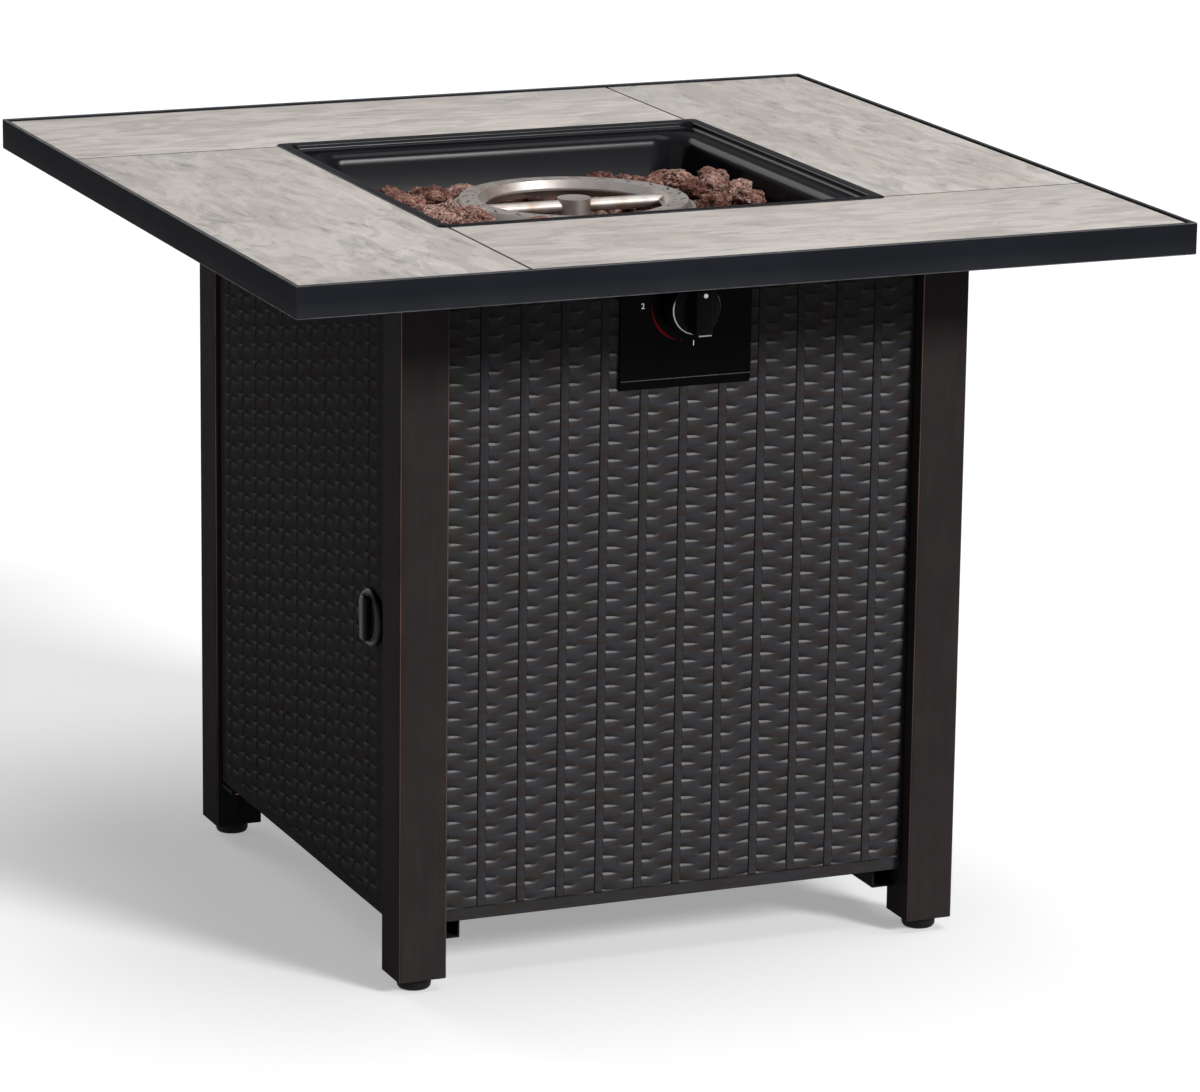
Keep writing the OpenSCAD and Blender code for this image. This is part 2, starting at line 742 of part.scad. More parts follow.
// Pivot pin with a collar on each side of the door's hem, reaching past its plate by the given length
module pivot_pin(past) {
    below = pivot_collar_h + move_fit + plate_t + past;
    translate([0, 0, -below]) cylinder(r = pivot_r, h = below + sheet_t + cut);
    translate([0, 0, -pivot_collar_h]) cylinder(r = pivot_collar_r, h = pivot_collar_h);
    translate([0, 0, sheet_t]) cylinder(r = pivot_collar_r, h = 3);
}

// Upper and lower pivot pins, one in each hem of the door
module door_pivot_pins() {
    color("#b5763f") translate([pivot_x, pivot_y, panel_z]) {
        pivot_pin(2);
        translate([0, 0, door_h]) mirror([0, 0, 1]) pivot_pin(-move_fit);
    }
}

// Plate with the pivot's bore, from the leg's inner face to just past the pin
module pivot_plate_at(z) {
    plate_y = pivot_y - pivot_pad / 2;
    difference() {
        translate([pivot_x - pivot_pad / 2, plate_y, z]) cube([pivot_pad, leg_in - plate_y, plate_t]);
        translate([pivot_x, pivot_y, z - cut]) cylinder(r = pivot_r + run_fit, h = plate_t + 2 * cut);
    }
}

// Upper pivot plate, fixed under the upper rail
module pivot_plate_upper() {
    color("#4a4a4c") pivot_plate_at(z_upper_rail - plate_t);
}

// Lower pivot plate, with a flange down the leg's inner face
module pivot_plate_lower() {
    color("#4a4a4c") {
        pivot_plate_at(z_pivot_plate);
        translate([pivot_x - pivot_pad / 2, leg_in - plate_t, z_pivot_plate - pivot_flange_h])
            cube([pivot_pad, plate_t, pivot_flange_h + plate_t]);
    }
}

// Round bezel on the door's face, with a recess for the turning disc and a sleeve through the sheet
module latch_bezel() {
    sleeve_l = relief + sheet_t + 4;
    color("#121213") translate([-door_face, latch_y, latch_z]) facing_left() difference() {
        union() {
            cylinder(r = bezel_r, h = bezel_h * 0.6);
            cylinder(r1 = bezel_r + 0.3, r2 = bezel_r - bezel_rim / 2, h = bezel_h);
            translate([0, 0, -sleeve_l]) cylinder(r = sleeve_r, h = sleeve_l + cut);
        }
        translate([0, 0, recess_floor]) cylinder(r = disc_r + move_fit, h = bezel_h);
        translate([0, 0, -sleeve_l - cut]) cylinder(r = spindle_r + run_fit, h = sleeve_l + bezel_h);
    }
}

// Turning disc with a finger wing and the spindle that carries the cam
module latch_knob() {
    disc_z = recess_floor + move_fit;
    spindle_l = cam_x + cam_t + 3 + door_face;
    color("#161617") translate([-door_face, latch_y, latch_z]) facing_left() {
        translate([0, 0, disc_z]) cylinder(r = disc_r, h = disc_t);
        translate([0, 0, -spindle_l]) cylinder(r = spindle_r, h = spindle_l + disc_z + cut);
        translate([0, 0, disc_z]) intersection() {
            cylinder(r1 = disc_r, r2 = disc_r - 2, h = wing_h - disc_z);
            translate([0, 0, wing_h / 2]) cube([2 * disc_r, wing_w, wing_h], center = true);
        }
    }
}

// Cam plate on the spindle. At rest it points down, clear of the strike
module latch_cam() {
    color("#8e8e90") translate([cam_x, latch_y, latch_z]) rotate([0, 90, 0]) difference() {
        union() {
            cylinder(r = cam_w / 2, h = cam_t);
            translate([0, -cam_w / 2, 0]) cube([cam_reach, cam_w, cam_t]);
        }
        translate([0, 0, -cut]) cylinder(r = spindle_r + run_fit, h = cam_t + 2 * cut);
    }
}

// Angle on the front leg's inner face: the door's stop and the cam's strike
module latch_strike() {
    foot_l = 2 * strike_reach;
    color("#4a4a4c") translate([strike_x, -leg_in, latch_z - strike_h / 2]) {
        cube([cam_t, strike_reach, strike_h]);
        cube([foot_l, cam_t, strike_h]);
    }
}

// Outline of the control panel's section, set in by a wall: face, fold and slanted lip
function control_outline(wall) = [
    [0, control_z + wall], [0, z_control_top - wall],
    [control_face - weave_face - wall, z_control_top - wall],
    [control_face - weave_face - wall, control_z + control_lip]
];

// Folded control panel that covers the front panel's cut-out
module control_panel() {
    color("#0f0f10") difference() {
        translate([0, -weave_face, 0]) mirror([0, 1, 0])
            along_x(control_w) polygon(control_outline(0));
        translate([0, -weave_face, 0]) mirror([0, 1, 0]) translate([0, -cut, 0])
            along_x(control_w - 2 * control_t) polygon([for (p = control_outline(control_t))
                [p.x > 0 ? p.x + cut : 0, p.y]]);
        translate([0, -control_back + cut, knob_z]) facing_front()
            cylinder(r = stem_r + 3, h = control_t + 2 * cut);
    }
}

// Bracket behind the control panel: a plate round the valve's nose and two arms along its sides
module valve_bracket() {
    plate_w = cutout_w - 2 * plate_margin;
    plate_h = cutout_h - 2 * plate_margin;
    arm_l = control_back - valve_back - valve_d / 3;
    color("#3a3a3c") difference() {
        union() {
            translate([-plate_w / 2, -control_back, knob_z - plate_h / 2])
                cube([plate_w, bracket_t, plate_h]);
            for (side = [-1, 1])
                translate([side * (valve_w + bracket_t) / 2 - bracket_t / 2, -control_back, 0])
                    translate([0, 0, knob_z - valve_h / 2]) cube([bracket_t, arm_l, valve_h]);
        }
        translate([0, -control_back - cut, knob_z]) rotate([-90, 0, 0])
            cylinder(r = nose_r + set_fit, h = bracket_t + 2 * cut);
    }
}

// Safety valve: die-cast body, bored nose, outlet to the burner and threaded gas inlet below
module gas_valve() {
    color("#a7a9ac") difference() {
        union() {
            translate([-valve_w / 2, -valve_front, knob_z - valve_h / 2]) cube([valve_w, valve_d, valve_h]);
            translate([0, -valve_front + cut, knob_z]) facing_front() cylinder(r = nose_r, h = nose_len);
            translate([0, -valve_back + outlet_len, z_outlet]) facing_front()
                cylinder(r = outlet_r, h = outlet_len + cut);
            translate([0, inlet_y, z_inlet_hex]) cylinder(r = inlet_r * 1.4, h = 6 + cut, $fn = 6);
            translate([0, inlet_y, z_inlet_hex - inlet_len]) cylinder(r = inlet_r, h = inlet_len + cut);
        }
        translate([0, -nose_front + nose_len - 2, knob_z]) facing_front()
            cylinder(r = collar_r + run_fit, h = nose_len + cut);
        translate([0, -valve_back - 4, knob_z]) facing_front()
            cylinder(r = stem_r + run_fit, h = valve_d + nose_len);
        translate([0, inlet_y, z_inlet_hex - inlet_len - cut])
            cylinder(r = inlet_r / 2, h = inlet_len + 6);
    }
}

// Sprung collar in the valve's nose that the stem pushes back
module stem_collar() {
    color("#b08d57") translate([0, -collar_front + collar_t, knob_z]) facing_front() difference() {
        cylinder(r = collar_r, h = collar_t);
        translate([0, 0, -cut]) cylinder(r = stem_r + run_fit, h = collar_t + 2 * cut);
    }
}

// Stem from inside the valve to inside the knob
module valve_stem() {
    inner = valve_back + 10;
    outer = knob_back + knob_h - 8;
    color("#b08d57") translate([0, -inner, knob_z]) facing_front()
        cylinder(r = stem_r, h = outer - inner);
}

// Control knob: round skirt, raised grip across it and a bore for the stem
module control_knob() {
    color("#121214") translate([0, -knob_back, knob_z]) facing_front() difference() {
        union() {
            cylinder(r = knob_r, h = skirt_h);
            intersection() {
                cylinder(r1 = knob_r - trim_w - 1, r2 = knob_r - trim_w - 3, h = knob_h);
                translate([0, 0, knob_h / 2]) cube([grip_w, 2 * knob_r, knob_h], center = true);
            }
        }
        translate([0, 0, -cut]) cylinder(r = stem_r + run_fit, h = knob_h - 8 + cut);
    }
}

// Bright trim ring on the front edge of the knob's skirt
module knob_trim() {
    color("#c9ccd0") translate([0, -knob_back - skirt_h, knob_z]) facing_front() difference() {
        cylinder(r = knob_r, h = 1.2);
        translate([0, 0, -cut]) cylinder(r = knob_r - trim_w, h = 1.2 + 2 * cut);
    }
}

// White dot at the top of the grip
module knob_pointer() {
    dot_r = 1.9;
    color("#f2f2ef") translate([0, -knob_back - knob_h, knob_z + knob_r - trim_w - 4 - dot_r])
        facing_front() cylinder(r = dot_r, h = 0.5);
}

edge_rail(FRONT);  // edge_rail_front
edge_rail(RIGHT);  // edge_rail_right
edge_rail(BACK);  // edge_rail_back
edge_rail(LEFT);  // edge_rail_left
top_tray();
tile(FRONT);  // tile_front
tile(RIGHT);  // tile_right
tile(BACK);  // tile_back
tile(LEFT);  // tile_left
burner_pan();
burner_ring();
burner_locknut();
mixing_tube();
gas_tube();
igniter_bracket();
igniter_rod();
flame_probe();
lava_rocks();
leg(-1, -1);  // leg_front_left
leg(1, -1);  // leg_front_right
leg(-1, 1);  // leg_back_left
leg(1, 1);  // leg_back_right
leg_plug(-1, -1);  // leg_plug_front_left
leg_plug(1, -1);  // leg_plug_front_right
leg_plug(-1, 1);  // leg_plug_back_left
leg_plug(1, 1);  // leg_plug_back_right
foot(-1, -1);  // foot_front_left
foot(1, -1);  // foot_front_right
foot(-1, 1);  // foot_back_left
foot(1, 1);  // foot_back_right
upper_rail(FRONT);  // upper_rail_front
upper_rail(RIGHT);  // upper_rail_right
upper_rail(BACK);  // upper_rail_back
upper_rail(LEFT);  // upper_rail_left
lower_channel(LEFT);  // lower_channel_left
lower_channel(RIGHT);  // lower_channel_right
bottom_shelf();
front_panel();
fixed_panel(RIGHT);  // right_panel
fixed_panel(BACK);  // back_panel
door_panel();
door_pivot_pins();
pivot_plate_upper();
pivot_plate_lower();
latch_bezel();
latch_knob();
latch_cam();
latch_strike();
control_panel();
valve_bracket();
gas_valve();
stem_collar();
valve_stem();
control_knob();
knob_trim();
knob_pointer();
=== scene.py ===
"""Looks of a square gas fire pit table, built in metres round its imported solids."""
import logging
import math
from dataclasses import dataclass, field
from enum import Enum
from random import Random
from typing import Any, Iterable, Sequence, Union

import bmesh
import bpy
import numpy as np
from mathutils import Matrix, Vector, noise


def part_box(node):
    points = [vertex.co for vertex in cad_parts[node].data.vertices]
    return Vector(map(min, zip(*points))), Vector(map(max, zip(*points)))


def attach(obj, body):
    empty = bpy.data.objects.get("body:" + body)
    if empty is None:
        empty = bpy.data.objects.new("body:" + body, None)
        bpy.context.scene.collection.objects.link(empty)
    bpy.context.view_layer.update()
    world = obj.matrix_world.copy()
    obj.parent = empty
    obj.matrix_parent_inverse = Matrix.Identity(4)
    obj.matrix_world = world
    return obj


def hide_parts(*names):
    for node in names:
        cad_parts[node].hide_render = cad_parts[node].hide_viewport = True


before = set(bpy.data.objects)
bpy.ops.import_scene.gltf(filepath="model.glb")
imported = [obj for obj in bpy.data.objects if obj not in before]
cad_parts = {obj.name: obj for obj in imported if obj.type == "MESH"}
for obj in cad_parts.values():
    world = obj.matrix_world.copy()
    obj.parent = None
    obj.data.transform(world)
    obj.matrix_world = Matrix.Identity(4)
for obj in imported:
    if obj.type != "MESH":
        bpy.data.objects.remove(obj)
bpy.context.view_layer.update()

log = logging.getLogger("fire_pit_table")
Colour = tuple[float, float, float]
Point = tuple[float, float, float]
Number = Union["Value", float]
MM = 0.001
SAME = 1e-7
CORNERS = ("front_left", "front_right", "back_left", "back_right")
# The planks and the pan's rim lie this far below the solids, so that the lip stands proud of them
PLANK_DROP = 2.0 * MM


class Side(Enum):
    """The four sides of the table, each with its turn from the front one in degrees."""

    FRONT = 0
    RIGHT = 90
    BACK = 180
    LEFT = -90

    @property
    def label(self) -> str:
        """Word that the solids' names end in."""
        return self.name.lower()

    @property
    def turn(self) -> Matrix:
        """Rotation from the front to this side."""
        return Matrix.Rotation(math.radians(self.value), 4, "Z")


class Grain(Enum):
    """Horizontal direction that a pattern runs in."""

    ALONG_X = 0
    ALONG_Y = 1


class Value:
    """A shader socket that takes part in Python arithmetic."""

    def __init__(self, paint: "Paint", socket: bpy.types.NodeSocket) -> None:
        """Remember the socket and the material it belongs to."""
        self.paint = paint
        self.socket = socket

    def math(self, operation: str, *others: Number) -> "Value":
        """Result of a Math node on this value and further operands."""
        operands = dict(enumerate((self, *others)))
        return self.paint.node("ShaderNodeMath", {"operation": operation}, operands)

    def __add__(self, other: Number) -> "Value":
        """Sum."""
        return self.math("ADD", other)

    __radd__ = __add__

    def __mul__(self, other: Number) -> "Value":
        """Product."""
        return self.math("MULTIPLY", other)

    __rmul__ = __mul__

    def __sub__(self, other: Number) -> "Value":
        """Difference."""
        return self.math("SUBTRACT", other)

    def __rsub__(self, other: float) -> "Value":
        """Difference from a number."""
        return self.paint.node("ShaderNodeMath", {"operation": "SUBTRACT"}, {0: other, 1: self})

    def __abs__(self) -> "Value":
        """Absolute value."""
        return self.math("ABSOLUTE")

    def most(self, other: Number) -> "Value":
        """Larger of two values."""
        return self.math("MAXIMUM", other)

    def least(self, other: Number) -> "Value":
        """Smaller of two values."""
        return self.math("MINIMUM", other)

    def ease(self, low: float, high: float) -> "Value":
        """Smooth step from 0 at low to 1 at high."""
        return self.paint.node("ShaderNodeMapRange", {"interpolation_type": "SMOOTHSTEP"},
                               {0: self, 1: low, 2: high, 3: 0.0, 4: 1.0})


class Paint:
    """A material or the world under construction, whose patterns lie on Object coordinates."""

    def __init__(self, name: str, owners: Any = None) -> None:
        """Start an empty node tree.

        Args:
            name: Name of the material or the world.
            owners: Collection that it belongs to, if that isn't the materials.
        """
        self.material = (bpy.data.materials if owners is None else owners).new(name)
        self.material.use_nodes = True
        self.tree = self.material.node_tree
        self.tree.nodes.clear()
        self.place = self.node("ShaderNodeTexCoord", out="Object")

    def node(self, kind: str, settings: dict[str, Any] | None = None,
             inputs: dict[Any, Any] | None = None, out: Any = 0) -> Value:
        """Add a node, set it up and connect it.

        Args:
            kind: The node's type.
            settings: Attributes, which are set first.
            inputs: Socket name or number to a value or to another node's result.
            out: Name or number of the output that is returned.

        Returns:
            The chosen output.
        """
        made = self.tree.nodes.new(kind)
        for key, setting in (settings or {}).items():
            setattr(made, key, setting)
        for key, given in (inputs or {}).items():
            if isinstance(given, Value):
                self.tree.links.new(given.socket, made.inputs[key])
            else:
                made.inputs[key].default_value = given
        return Value(self, made.outputs[out])

    def axes(self) -> tuple[Value, Value, Value]:
        """The place's X, Y and Z."""
        outputs = self.node("ShaderNodeSeparateXYZ", None, {0: self.place}).socket.node.outputs
        return tuple(Value(self, outputs[i]) for i in range(3))

    def attribute(self, name: str) -> Value:
        """Number that the mesh carries under a name."""
        return self.node("ShaderNodeAttribute", {"attribute_name": name}, None, "Fac")

    def stretched(self, scale: Point, offset: Point = (0.0, 0.0, 0.0)) -> Value:
        """The place, moved and then scaled along its axes."""
        moved = self.node("ShaderNodeVectorMath", {"operation": "ADD"}, {0: self.place, 1: offset})
        return self.node("ShaderNodeVectorMath", {"operation": "MULTIPLY"}, {0: moved, 1: scale})

    def noise(self, scale: float, detail: float = 4.0, rough: float = 0.55,
              where: Value | None = None, warp: float = 0.0) -> Value:
        """Fractal noise from 0 to 1.

        Args:
            scale: Features to the metre.
            detail: Number of octaves.
            rough: Strength of the finer octaves.
            where: Coordinates, if they aren't the plain place.
            warp: Distortion.

        Returns:
            The noise value.
        """
        return self.node("ShaderNodeTexNoise", None, {
            "Vector": where or self.place, "Scale": scale, "Detail": detail, "Roughness": rough,
            "Distortion": warp})

    def pits(self, scale: float, where: Value) -> Value:
        """Distance to the nearest of many scattered points."""
        return self.node("ShaderNodeTexVoronoi", None, {"Vector": where, "Scale": scale},
                         "Distance")

    @staticmethod
    def rgba(colour: Any) -> Any:
        """A plain colour with full cover, or a colour result as it is."""
        return colour if isinstance(colour, Value) else (*colour, 1.0)

    def mix(self, share: Number, first: Any, second: Any) -> Value:
        """Blend of two colours or colour results, with the second one's share from 0 to 1."""
        return self.node("ShaderNodeMix", {"data_type": "RGBA"},
                         {0: share, 6: self.rgba(first), 7: self.rgba(second)}, 2)

    def cover(self, base: Any, *layers: tuple[Number, Colour]) -> Any:
        """Lay colours over a base, one after the other.

        Args:
            base: A colour or a colour result.
            layers: Share of the base that each layer hides, from 0 to 1, and its colour.

        Returns:
            The colour with all its layers.
        """
        for share, colour in layers:
            base = self.mix(share, base, colour)
        return base

    def bump(self, height: Value, depth: float, strength: float = 1.0) -> Value:
        """Normal of a small relief that is depth metres high where height is 1."""
        return self.node("ShaderNodeBump", None,
                         {"Strength": strength, "Distance": depth, "Height": height}, "Normal")

    def coat(self, base: Any, rough: Number, normal: Value | None = None, metallic: Number = 0.0,
             **fixed: Number) -> bpy.types.Material:
        """Close the material with a Principled shader.

        Args:
            base: Base colour.
            rough: Roughness.
            normal: Bumped normal.
            metallic: Metalness.
            fixed: Further sockets by name, with underscores for spaces.

        Returns:
            The finished material.
        """
        inputs = {"Base Color": self.rgba(base), "Roughness": rough, "Metallic": metallic}
        if normal is not None:
            inputs["Normal"] = normal
        inputs.update({key.replace("_", " "): number for key, number in fixed.items()})
        self.send(self.node("ShaderNodeBsdfPrincipled", None, inputs), "ShaderNodeOutputMaterial")
        return self.material

    def send(self, surface: Value, output: str) -> None:
        """Send a surface to an output node of the given type."""
        made = self.tree.nodes.new(output)
        self.tree.links.new(surface.socket, made.inputs["Surface"])

    def seen(self) -> Value:
        """One for rays from the camera, a mirror or glass, and nothing for the light's paths."""
        camera = self.node("ShaderNodeLightPath", out="Is Camera Ray")
        mirror, glass = (Value(self, camera.socket.node.outputs[name])
                         for name in ("Is Glossy Ray", "Is Transmission Ray"))
        return camera.most(mirror).most(glass)


@dataclass(frozen=True)
class PowderCoat:
    """Powder-coated steel with a fine orange-peel relief."""

    name: str
    colour: Colour
    haze: Colour
    shine: float
    gloss: float
    rough: float = 0.5
    peel: float = 0.06 * MM

    def make(self) -> bpy.types.Material:
        """Build the material.

        Returns:
            The finished material.
        """
        p = Paint(self.name)
        cloud = p.noise(9.0, 5.0).ease(0.3, 0.75)
        fine = p.noise(900.0, 2.0)
        speck = p.noise(2200.0, 1.0)
        base = p.mix(cloud * 0.75 + speck * 0.25, self.colour, self.haze)
        rough = cloud * 0.10 + fine * 0.08 + (self.rough - 0.09)
        return p.coat(base, rough, p.bump(fine, self.peel), Specular_IOR_Level=0.0,
                      Coat_Weight=self.shine, Coat_Roughness=self.gloss)


@dataclass(frozen=True)
class BandCoat:
    """Blue-black satin of the edge band, glossier along its edges, with painted highlights along
    its top and bottom edges and a painted floor reflection at its foot.
    """

    name: str
    colour: Colour
    haze: Colour
    # Grey of the painted edge highlights and of the painted floor reflection
    worn: Colour
    # Pale grey of the painted highlight line along the very bottom edge
    edge_line_highlight: Colour
    low: float
    high: float
    peel: float = 0.06 * MM

    def make(self) -> bpy.types.Material:
        """Build the material.

        Returns:
            The finished material.
        """
        p = Paint(self.name)
        _, _, z = p.axes()
        cloud = p.noise(9.0, 5.0).ease(0.3, 0.75)
        fine = p.noise(900.0, 2.0)
        rub = p.noise(70.0, 4.0).ease(0.25, 0.7)
        top = z.ease(self.high - 1.5 * MM, self.high - 0.6 * MM)
        bottom = 1.0 - z.ease(self.low + 0.5 * MM, self.low + 1.3 * MM)
        # Painted highlight lines along the lip and the bottom edge, broken up by a rubbed pattern;
        # the coat is also glossier there
        edge = top.most(bottom) * (rub * 0.4 + 0.6)
        # Painted reflection of the floor: the band is made lighter towards its bottom
        foot = 1.0 - z.ease(self.low + 1.0 * MM, self.low + 17.0 * MM)
        # The grey paints the floor reflection and the edge highlights, the pale grey a highlight
        # line along the bottom edge
        base = p.cover(
            self.colour, (cloud * 0.75 + fine * 0.25, self.haze),
            (foot * (cloud * 0.14 + 0.16), self.worn), (edge * 0.6, self.worn),
            (bottom * (rub * 0.5 + 0.3), self.edge_line_highlight))
        return p.coat(base, 0.45 + fine * 0.08, p.bump(fine, self.peel), Specular_IOR_Level=0.0,
                      Coat_Weight=edge * 0.35 + 0.06, Coat_Roughness=0.32)


@dataclass(frozen=True)
class RubbedBronze:
    """Dark brown coat whose tube edges are rubbed through to copper."""

    name: str
    colour: Colour
    haze: Colour
    copper: Colour
    centre: float = 241.5 * MM
    half: float = 22.0 * MM
    peel: float = 0.07 * MM

    def make(self) -> bpy.types.Material:
        """Build the material.

        Returns:
            The finished material.
        """
        p = Paint(self.name)
        x, y, z = p.axes()
        across = abs(abs(x) - self.centre).least(abs(abs(y) - self.centre))
        streak = p.noise(1.0, 5.0, 0.6, p.stretched((160.0, 160.0, 14.0)))
        patch = p.noise(1.0, 4.0, 0.6, p.stretched((30.0, 30.0, 9.0)))
        cloud = p.noise(24.0, 6.0, 0.62)
        fine = p.noise(1100.0, 2.0)
        edge = across.ease(self.half - 1.4 * MM, self.half - 0.4 * MM)
        rubbed = (patch * 0.65 + streak * 0.55).ease(0.32, 0.64)
        worn = edge * rubbed * (z.ease(0.05, 0.45) * 0.45 + 0.55)
        base = p.cover(
            self.colour, ((cloud * 0.7 + streak * 0.45).ease(0.35, 0.85), self.haze),
            (worn * 0.85, self.copper))
        rough = 0.50 - worn * 0.10 + (fine - 0.5) * 0.12
        return p.coat(base, rough, p.bump(fine, self.peel), worn * 0.25, Specular_IOR_Level=0.0,
                      Coat_Weight=0.06, Coat_Roughness=0.40)


@dataclass(frozen=True)
class WovenCoat:
    """Dark satin coat of the woven sheet, with painted shade in its grooves and on the strands'
    lower parts, painted highlights on their upper parts, and glossy on its shoulders.
    """

    name: str
    colour: Colour
    warm: Colour
    olive: Colour
    # Colour of the painted shade in the grooves and on the strands' lower parts
    groove: Colour
    # Colour of the painted highlight on the strands' upper parts
    crown: Colour
    peel: float = 0.05 * MM

    def make(self) -> bpy.types.Material:
        """Build the material.

        Returns:
            The finished material.
        """
        p = Paint(self.name)
        tone, shine = p.attribute("tone"), p.attribute("shine")
        cloud = p.noise(16.0, 5.0, 0.6)
        strand = p.noise(1.0, 3.0, 0.6, p.stretched((36.0, 36.0, 150.0)))
        other = p.noise(1.0, 2.0, 0.6, p.stretched((30.0, 30.0, 135.0), (7.3, 2.1, 4.7)))
        fine = p.noise(1300.0, 2.0)
        # Painted light and shade from the mesh: dark in the grooves and low on each strand, light
        # on its upper part
        base = p.cover(
            self.colour, (strand.ease(0.43, 0.57), self.warm),
            (other.ease(0.54, 0.63) * 0.8, self.olive), (1.0 - tone.ease(0.0, 0.5), self.groove),
            (tone.ease(0.5, 1.0) * (cloud.ease(0.3, 0.7) * 0.4 + 0.5), self.crown))
        rough = 0.55 + (cloud - 0.5) * 0.16
        return p.coat(base, rough, p.bump(fine, self.peel), Specular_IOR_Level=0.0,
                      Coat_Weight=shine * (strand * 0.30 + 0.35) + 0.02, Coat_Roughness=0.41)


@dataclass(frozen=True)
class WeatheredPlank:
    """Matt ceramic printed and pressed like weathered pale timber."""

    name: str
    grain: Grain
    shift: Point
    top: float
    grey: float
    pale: Colour = (0.676, 0.632, 0.590)
    warm: Colour = (0.620, 0.553, 0.506)
    cool: Colour = (0.418, 0.394, 0.370)
    dark: Colour = (0.205, 0.192, 0.180)
    joint: Colour = (0.030, 0.028, 0.026)
    relief: float = 0.35 * MM

    def _figure(self, p: Paint, long: float, cross: float, detail: float, rough: float,
                warp: float) -> Value:
        """Noise that is stretched along the grain.

        Args:
            p: The material.
            long: Features to the metre along the grain.
            cross: Features to the metre across it.
            detail: Number of octaves.
            rough: Strength of the finer octaves.
            warp: Distortion.

        Returns:
            The noise value.
        """
        along_x = self.grain is Grain.ALONG_X
        scale = (long, cross, cross) if along_x else (cross, long, cross)
        return p.noise(1.0, detail, rough, p.stretched(scale, self.shift), warp)

    def make(self) -> bpy.types.Material:
        """Build the material.

        Returns:
            The finished material.
        """
        p = Paint(self.name)
        broad = self._figure(p, 4.5, 14.0, 5.0, 0.58, 0.9)
        streak = self._figure(p, 7.0, 62.0, 7.0, 0.66, 0.9)
        fibre = self._figure(p, 26.0, 420.0, 6.0, 0.7, 0.4)
        cloud = self._figure(p, 11.0, 30.0, 6.0, 0.64, 1.2)
        stain = self._figure(p, 14.0, 52.0, 8.0, 0.72, 1.5)
        check = self._figure(p, 15.0, 190.0, 4.0, 0.75, 0.5)
        fleck = self._figure(p, 48.0, 190.0, 6.0, 0.72, 0.8)
        grit = p.noise(1500.0, 2.0)
        _, _, z = p.axes()
        blot = stain.ease(0.47, 0.70) * cloud.ease(0.40, 0.60)
        crack = check.ease(0.66, 0.78) * stain.ease(0.42, 0.66)
        base = p.cover(
            self.pale, (broad.ease(0.36, 0.66), self.warm),
            (cloud.ease(0.43, 0.58) * 0.52 + self.grey, self.cool),
            (streak.ease(0.46, 0.66) * 0.36, self.cool),
            (fleck.ease(0.47, 0.66) * 0.36, self.cool),
            (blot * (0.55 + 1.2 * self.grey), self.dark),
            (crack * 0.50, self.dark),
            (fibre.ease(0.44, 0.66) * 0.26, self.cool),
            (grit.ease(0.60, 0.85) * 0.12, self.dark),
            (z.ease(self.top - 0.03 * MM, self.top - 0.20 * MM) * 0.95, self.joint))
        height = fibre * 0.5 + streak * 0.35 - crack * 0.6 + grit * 0.1
        return p.coat(base, 0.60 + fibre * 0.16, p.bump(height, self.relief),
                      Specular_IOR_Level=0.35)


@dataclass(frozen=True)
class BareMetal:
    """Bare metal with fine working marks, and a heat tint where it has one."""

    name: str
    colour: Colour
    rough: float
    tint: Colour
    tinted: float = 0.25
    grain: Point = (420.0, 420.0, 420.0)
    scratch: float = 0.04 * MM

    def make(self) -> bpy.types.Material:
        """Build the material.

        Returns:
            The finished material.
        """
        p = Paint(self.name)
        mark = p.noise(1.0, 4.0, 0.6, p.stretched(self.grain))
        cloud = p.noise(38.0, 4.0)
        base = p.mix(cloud.ease(0.4, 0.8) * self.tinted, self.colour, self.tint)
        rough = mark * 0.16 + cloud * 0.08 + (self.rough - 0.12)
        return p.coat(base, rough, p.bump(mark, self.scratch), 1.0)


@dataclass(frozen=True)
class Moulded:
    """Moulded plastic or rubber with a fine spark-eroded grain."""

    name: str
    colour: Colour
    rough: float
    grain: float = 0.08 * MM
    shine: float = 0.15

    def make(self) -> bpy.types.Material:
        """Build the material.

        Returns:
            The finished material.
        """
        p = Paint(self.name)
        fine = p.noise(1700.0, 2.0)
        cloud = p.noise(55.0, 4.0)
        lighter = tuple(c * 1.5 + 0.004 for c in self.colour)
        base = p.mix(cloud.ease(0.35, 0.8) * 0.5, self.colour, lighter)
        rough = cloud * 0.10 + fine * 0.06 + (self.rough - 0.08)
        return p.coat(base, rough, p.bump(fine, self.grain), Specular_IOR_Level=self.shine)


